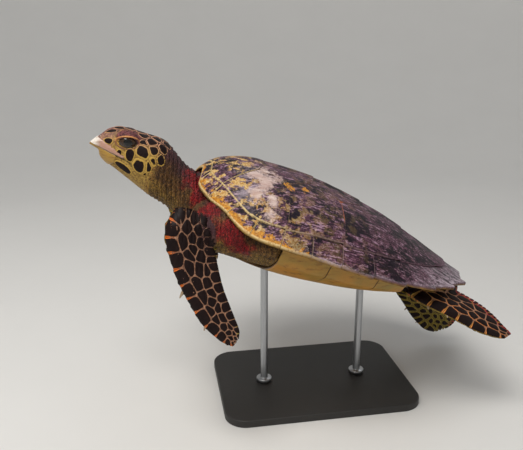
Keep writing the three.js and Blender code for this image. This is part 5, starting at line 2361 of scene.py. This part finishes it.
@dataclass
class Beak:
    """The horn of both jaws, as two sheaths over the skin."""

    proud: float = 0.9
    buried: float = 2.6
    inner: float = 0.62

    @staticmethod
    def _angle(y: Array, z: Array) -> Array:
        """The angle round the head's section at which it has a height.

        Args:
            y: the sections' places.
            z: the heights.

        Returns:
            The angles in radians.
        """
        top, bottom, _, square = HEAD_SHAPE(y).T
        v = np.clip((z - (top + bottom) / 2) / ((top - bottom) / 2), -1, 1)
        return np.arcsin(np.sign(v) * np.abs(v) ** (square / 2))

    def _sheath(self, name: str, y: Array, start: Array, end: Array, mask: Callable, looks: Finishes) -> None:
        """One jaw's sheath, from its left edge round to its right edge.

        Args:
            name: the CAD node that it stands for.
            y: the sections' places.
            start, end: the angle at each edge, for each section.
            mask: takes points and gives 1 where the horn shows and 0 where skin covers it.
            looks: the materials.
        """
        share = np.linspace(0, 1, 61)
        around = mix(start[:, None], end[:, None], share[None])
        skin = section_point(HEAD_SHAPE, y[:, None], around)
        centre = skin.mean(1, keepdims=True)
        out = unit((skin - centre) * np.array([1, 0.15, 1]))
        shown = mask(skin)
        edge = smooth(np.minimum(share, 1 - share), 0, 0.035)[None]
        small = np.minimum(1, np.linalg.norm(skin - centre, axis=-1) / 8)
        lift = mix(-self.buried, self.proud * (0.45 + 0.55 * edge), shown)
        lift = lift * small * smooth(y, -468, -461)[:, None]
        outer = skin + out * lift[..., None]
        inner = centre + (skin - centre) * self.inner
        points = np.concatenate([outer.reshape(-1, 3), inner.reshape(-1, 3)])
        _, along, height = points.T
        seam = smooth(np.abs(height - mouth_height(along)), 1.2, 0.2) * 0.8 * smooth(along, -455, -448)
        if name == "beak_upper":
            tint = layered(Tints.upper, (smooth(along, -448, -459), Tints.tip), (seam, Tints.lip))
        else:
            tint = layered(Tints.lower, (seam, Tints.lip))
        parts = Parts().take(points, sheet_faces(*outer.shape[:2]), Tint=tint)
        finished(parts.made(name + "_horn"), [name], looks.beak)

    def build(self, looks: Finishes) -> None:
        """Makes both sheaths.

        Args:
            looks: the materials.
        """
        y = np.concatenate([np.linspace(-466.9, -455, 16), np.linspace(-454, -404, 40)])
        low = self._angle(y, mouth_height(y) + 0.3)
        top_line = np.interp(y, [-480, -458, -405], [50.5, 43.5, 27.5])

        def upper(points: Array) -> Array:
            """1 below the line where the skin of the snout begins."""
            line = np.interp(points[..., 1], y, top_line)
            return smooth(points[..., 2], line + 0.8, line - 0.8) * smooth(points[..., 1], -404, -410)

        def lower(points: Array) -> Array:
            """1 in front of the line where the skin of the chin begins."""
            line = np.interp(points[..., 2], [-40, -6, 12, 45], [-437, -437, -420, -418])
            return smooth(points[..., 1], line + 0.8, line - 0.8)

        self._sheath("beak_upper", y, low, math.pi - low, upper, looks)
        front = y < -412
        high = self._angle(y, mouth_height(y) - 0.3)[front]
        self._sheath("beak_lower", y[front], high, -math.pi - high, lower, looks)


@dataclass
class Claws:
    """Two hooked claws on the leading edge of every flipper."""

    front: tuple = ((4.6, 13.0, 3.6), (6.4, 8.0, 2.6))
    rear: tuple = ((2.4, 9.0, 2.8), (3.4, 6.5, 2.2))
    lean: float = 0.55

    def _claw(self, limb: Limb, station: float, length: float, radius: float) -> Parts:
        """One claw, as a bent cone.

        Args:
            limb: the flipper.
            station: where it grows.
            length: its length.
            radius: its root's radius.

        Returns:
            Its closed mesh.
        """
        at, after = limb.curve(station), limb.curve(min(station + 0.3, limb.last))
        out = unit(at[:3] - at[3:6])
        along = unit(after[:3] - at[:3])
        axis = unit(out + along * self.lean)
        side = unit(np.cross(axis, along))
        up = np.cross(side, axis)
        share = np.linspace(0, 1, 14)[:, None, None]
        turn = turns(16)[None, :, None]
        size = radius * np.sqrt(np.clip(1 - share, 0, 1)) * (1 - 0.25 * share) + 0.05
        bend = up * (0.16 * length * share**2)
        rings = at[:3] - axis * 3 + axis * length * share + bend
        rings = rings + (side * np.cos(turn) * 0.8 + up * np.sin(turn)) * size
        return Parts().take(*tube(rings))

    def build(self, looks: Finishes) -> None:
        """Makes all the claws."""
        for name, limb in LIMBS.items():
            for i, (station, length, radius) in enumerate(self.front if "front" in name else self.rear):
                node = f"claw_{name.replace('_flipper', '')}_{i + 1}"
                claw = self._claw(limb, station, length, radius)
                finished(claw.made(node + "_horn"), [node], looks.claw)


class InputName(Enum):
    """The named inputs of the granule tree."""

    SPACING = "Spacing"
    SIZE = "Size"
    FLATTEN = "Flatten"
    STRETCH = "Stretch"
    SEED = "Seed"
    FINISH = "Finish"


@dataclass
class Granules:
    """The small grains of the neck, throat, lids, shoulders and tail, set over the skin."""

    spacing: float = 0.00205
    size: float = 0.00128
    flatten: float = 0.5
    stretch: float = 1.5
    seed: int = 7
    # each piece's name and the stretch of the body that it covers
    regions: tuple = (("neck", -500, -300), ("chest", -300, -225), ("rear", -225, 500))

    def tree(self) -> Tree:
        """The Geometry Nodes tree, with named inputs.

        Returns:
            The tree.
        """
        made = bpy.data.node_groups.new("skin granules", "GeometryNodeTree")
        kinds = {InputName.SEED: "Int", InputName.FINISH: "Material"}
        made.interface.new_socket("Geometry", in_out="INPUT", socket_type="NodeSocketGeometry")
        for name in InputName:
            kind = "NodeSocket" + kinds.get(name, "Float")
            made.interface.new_socket(name.value, in_out="INPUT", socket_type=kind)
        made.interface.new_socket("Geometry", in_out="OUTPUT", socket_type="NodeSocketGeometry")
        g = Graph(made)
        entry = g.add("NodeGroupInput").outputs
        named = "GeometryNodeInputNamedAttribute"
        grain = g.add(named, {"data_type": "FLOAT"}, Name="grain").outputs["Attribute"]
        spread = g.add("GeometryNodeDistributePointsOnFaces", {"distribute_method": "POISSON"},
                       Mesh=entry["Geometry"], Distance_Min=entry[InputName.SPACING.value],
                       Density_Max=1.0e6, Density_Factor=grain, Seed=entry[InputName.SEED.value])
        ball = g.add("GeometryNodeMeshIcoSphere", None, Radius=1.0, Subdivisions=1)
        across = g.add(named, {"data_type": "FLOAT_VECTOR"}, Name="across").outputs["Attribute"]
        first = g.add("FunctionNodeAlignRotationToVector", {"axis": "Z"}, Vector=spread.outputs["Normal"])
        turned = g.add("FunctionNodeAlignRotationToVector", {"axis": "X", "pivot_axis": "Z"},
                       Rotation=first.outputs[0], Vector=across)
        vary = g.add("FunctionNodeRandomValue", {"data_type": "FLOAT"}, i2=0.75, i3=1.2, Seed=3).outputs[1]
        wide = g.times(entry[InputName.SIZE.value], vary)
        long, thick = (g.times(wide, entry[name.value]) for name in (InputName.STRETCH, InputName.FLATTEN))
        scale = g.add("ShaderNodeCombineXYZ", None, X=long, Y=wide, Z=thick)
        placed = g.add("GeometryNodeInstanceOnPoints", None, Points=spread.outputs["Points"],
                       Instance=ball.outputs[0], Rotation=turned.outputs[0], Scale=scale.outputs[0])
        real = g.add("GeometryNodeRealizeInstances", None, Geometry=placed.outputs[0])
        dressed = g.add("GeometryNodeSetMaterial", None, Geometry=real.outputs[0],
                        Material=entry[InputName.FINISH.value])
        g.add("NodeGroupOutput", None, i0=dressed.outputs[0])
        return made

    def build(self, skin: Object, looks: Finishes) -> None:
        """Sets the grains over the skin and splits them into pieces by side and region.

        Args:
            skin: the skin, with its grain, across and Tint values.
            looks: the materials.
        """
        base, tree = linked("grain_base", skin.data.copy()), self.tree()
        grow = base.modifiers.new("granules", "NODES")
        grow.node_group = tree
        values = {InputName.SPACING: self.spacing, InputName.SIZE: self.size, InputName.FLATTEN: self.flatten,
                  InputName.STRETCH: self.stretch, InputName.SEED: self.seed, InputName.FINISH: looks.grains}
        ports = {port.name: port.identifier for port in tree.interface.items_tree if port.in_out == "INPUT"}
        for name, value in values.items():
            grow[ports[name.value]] = value
        mesh = evaluated(base)
        base.modifiers.remove(grow)
        grains = body_points(mesh).reshape(-1, GRAIN_POINTS, 3)
        tint = column(mesh.attributes["Tint"].data, "color", 4)[:, :3].reshape(grains.shape)
        faces = column(mesh.loops, "vertex_index").reshape(-1, 3)
        bpy.data.objects.remove(base)
        bpy.data.meshes.remove(mesh)
        middles = grains.mean(1)
        log.info("granules: %d", len(grains))
        for side, (word, front, rear) in itertools.product(Side, self.regions):
            here = (middles[:, 1] >= front) & (middles[:, 1] < rear)
            here &= (middles[:, 0] >= 0) == (side is Side.LEFT)
            chosen = np.flatnonzero(here)
            number = np.full(len(grains), -1)
            number[chosen] = np.arange(len(chosen))
            mine = faces[here[faces[:, 0] // GRAIN_POINTS]]
            moved = number[mine // GRAIN_POINTS] * GRAIN_POINTS + mine % GRAIN_POINTS
            shade = np.repeat(np.random.default_rng(3).random(len(chosen)), GRAIN_POINTS)
            parts = Parts().take(
                grains[chosen].reshape(-1, 3), [tuple(f) for f in moved.tolist()],
                Tint=tint[chosen].reshape(-1, 3), shade=shade,
                OFBake=self._atlas(grains[chosen], middles[chosen], side))
            finished(parts.made(f"skin_grains_{word}_{side.word}"), [], looks.grains)

    @staticmethod
    def _atlas(grains: Array, middles: Array, side: Side) -> Array:
        """Each grain's own small patch of the map, near its place along and round the body.

        Args:
            grains: the grains' points.
            middles: their middles.
            side: the side that they are on.

        Returns:
            u and v for each point.
        """
        around = np.arctan2(middles[:, 2], middles[:, 0] * side.value)
        along = 0.62 + (middles[:, 1] + 480) * MM * 0.45
        place = np.stack([along, 0.5 + side.value * (around * 0.12 + 0.02)], -1)
        local = grains - middles[:, None]
        patch = local[..., [1, 2]] / np.abs(local).max((1, 2), keepdims=True) * 0.0015
        return (place[:, None] + patch).reshape(-1, 2)


# ---- stand and studio
@dataclass
class Stand:
    """A flat base and two short rods with round pads under the belly."""

    length: float = 370
    width: float = 260
    thick: float = 14
    corner: float = 40
    bevel: float = 2.5
    rods: tuple = (("front", -112.0), ("rear", 78.0))
    # radius and height over the base
    collar: tuple = ((0.01, 0), (15, 0), (15, 6.6), (14.6, 7.5), (13.6, 8), (8.2, 8), (7.3, 8.4), (7, 9.4))
    # radius and depth under the belly
    pad: tuple = ((7, 9.5), (7.4, 8.2), (15.6, 6.4), (16.6, 5.8), (17, 4.8), (17, 0.9), (16.6, 0.3),
                  (15.8, 0), (8, 0), (0.01, 0))

    def _base(self) -> tuple[Array, Faces]:
        """The base's rings in room millimetres, from underneath to the top.

        Returns:
            The points and the faces.
        """
        turn = np.radians(np.arange(0, 360, 6))
        cx = np.where(np.cos(turn) > 0, 1, -1) * (self.width / 2 - self.corner)
        cy = np.where(np.sin(turn) > -1e-9, 1, -1) * (self.length / 2 - self.corner)
        profile = [(0.8, 0), (0, 0.8)]
        for k in range(5):
            angle = math.radians(90 * k / 4)
            down = self.bevel * (1 - math.sin(angle))
            profile.append((self.bevel * (1 - math.cos(angle)), self.thick - down))
        rings = []
        for inset, z in profile:
            reach = self.corner - inset
            rings.append(np.stack([cx + reach * np.cos(turn), cy + reach * np.sin(turn), turn * 0 + z], -1))
        return turned_body(rings)

    def build(self, looks: Finishes) -> None:
        """Makes the base finer and gives the rods their metal.

        Args:
            looks: the materials.
        """
        points, faces = self._base()
        made = outward(new_object("stand_base_plate", POSE.into(points * MM), faces, shaded=False))
        finished(made, ["stand_base"], looks.base)
        for word, along in self.rods:
            self._rod(word, along, looks)

    def _rod(self, word: str, along: float, looks: Finishes) -> None:
        """One rod, its collar at the base and its pad, which follows the belly.

        Args:
            word: the rod's word in its name.
            along: its place along the body.
            looks: the materials.
        """
        foot = POSE.out(np.array([[0, along, SHELL.belly(0.0, along)]]))[0] / MM
        turn = turns(40)
        low = self.thick + GAP

        def ring_at(radius: float, height: float) -> Array:
            """A level ring round the rod."""
            return np.stack([radius * np.cos(turn), foot[1] + radius * np.sin(turn), turn * 0 + height], -1)

        rings = [ring_at(radius, low + height) for radius, height in self.collar]
        for radius, drop in self.pad:
            ring = ring_at(radius, foot[2])
            for _ in range(6):
                body = POSE.into(ring * MM)
                above = body[:, 2] - SHELL.belly(body[:, 0], body[:, 1]) + GAP
                ring[:, 2] -= above / math.cos(math.radians(POSE.pitch))
            ring[:, 2] -= drop
            rings.append(ring)
        points, faces = turned_body(rings)
        made = outward(new_object(f"stand_rod_{word}_steel", POSE.into(points * MM), faces), POLE)
        finished(made, [f"stand_rod_{word}"], looks.steel)


@dataclass
class Studio:
    """The floor, the lights and the camera."""

    azimuth: float = 80.0
    elevation: float = 17.0
    view: float = 45.0
    camera: tuple = (1.08209, -0.29193, 0.67011)
    flat: float = 2.0
    sweep: float = 2.6
    wall: float = 4.4
    sides: int = 96

    def floor(self, looks: Finishes) -> None:
        """A round pale floor that sweeps up into a wall.

        Args:
            looks: the materials.
        """
        profile = [(self.flat, 0.0)]
        for t in np.linspace(0.05, math.pi / 2, 20):
            profile.append((self.flat + self.sweep * math.sin(t), self.sweep - self.sweep * math.cos(t)))
        profile.append((self.flat + self.sweep, self.wall))
        work = bmesh.new()
        rows = []
        for r, z in profile:
            rows.append([work.verts.new((r * math.cos(t), r * math.sin(t), z)) for t in turns(self.sides)])
        middle = work.verts.new((0, 0, 0))
        for j in range(self.sides):
            k = (j + 1) % self.sides
            work.faces.new((middle, rows[0][j], rows[0][k]))
            for low, high in zip(rows, rows[1:]):
                work.faces.new((low[j], high[j], high[k], low[k]))
        mesh = bpy.data.meshes.new("floor")
        work.to_mesh(mesh)
        work.free()
        mesh.materials.append(looks.floor)
        linked("floor", mesh, shaded=True)

    @staticmethod
    def light(name: str, place: Sequence[float], power: float, size: float, colour: Colour,
              far: bool) -> None:
        """A soft light that looks at the animal.

        Args:
            name: its name.
            place: where it shines from.
            power: watts, or watts per square metre for a far light.
            size: its side in metres, or its spread in degrees for a far light.
            colour: its colour.
            far: True for an even light from far away, False for a square panel.
        """
        lamp = bpy.data.lights.new(name, "SUN" if far else "AREA")
        lamp.energy, lamp.color = power, colour
        if far:
            lamp.angle = math.radians(size)
        else:
            lamp.size = size
        made = linked(name, lamp)
        made.location = place
        made.rotation_euler = (Vector((0, 0, 0.3)) - Vector(place)).to_track_quat("-Z", "Y").to_euler()

    def lights(self) -> None:
        """A large key light overhead, a fill from the camera's side and a soft room."""
        self.light("key", (0.9, -0.9, 2.4), 50, 1.3, (1.0, 0.97, 0.92), far=False)
        self.light("fill", (2.2, -0.6, 0.9), 0.62, 40, (1.0, 0.93, 0.85), far=True)
        self.light("rim", (-1.8, 1.3, 1.9), 0.5, 30, (0.9, 0.95, 1.0), far=True)
        world = bpy.data.worlds.new("room")
        world.use_nodes = True
        colour, strength = world.node_tree.nodes["Background"].inputs[:2]
        colour.default_value, strength.default_value = (0.86, 0.88, 0.9, 1), 0.42
        bpy.context.scene.world = world
        bpy.context.scene.view_settings.view_transform = "Standard"

    def shoot(self) -> None:
        """The camera, level and looking along its azimuth and elevation."""
        a, e = math.radians(self.azimuth), math.radians(self.elevation)
        back = Vector((math.sin(a) * math.cos(e), -math.cos(a) * math.cos(e), math.sin(e)))
        right = Vector((0, 0, 1)).cross(back).normalized()
        up = back.cross(right)
        lens = bpy.data.cameras.new("camera")
        lens.sensor_width = 36
        lens.lens = 18 / math.tan(math.radians(self.view / 2))
        lens.clip_start = 0.01
        made = linked("camera", lens)
        made.matrix_world = Matrix.Translation(self.camera) @ Matrix((right, up, back)).transposed().to_4x4()
        bpy.context.scene.camera = made


def main() -> None:
    """Builds the turtle and its stand, then the studio."""
    logging.basicConfig(level=logging.INFO, format="%(name)s: %(message)s")
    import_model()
    studio = Studio()
    studio.shoot()
    looks = Finishes()
    studio.floor(looks)
    studio.lights()
    Carapace().build(looks)
    Plastron().build(looks)
    body = Skin()
    skin, tree = body.build(looks)
    for k, limb in enumerate(LIMBS.values()):
        sizes = REAR_SCALES if "rear" in limb.name else {}
        FlipperScales(limb, 40 + k, atlas=(0.02, 0.02 + 0.24 * k), **sizes).build(looks, tree)
    HeadScales(tree).build(looks)
    Beak().build(looks)
    Granules().build(skin, looks)
    Eyes(body.lids, tree).build(looks)
    Claws().build(looks)
    Stand().build(looks)


if __name__ == "__main__":
    main()
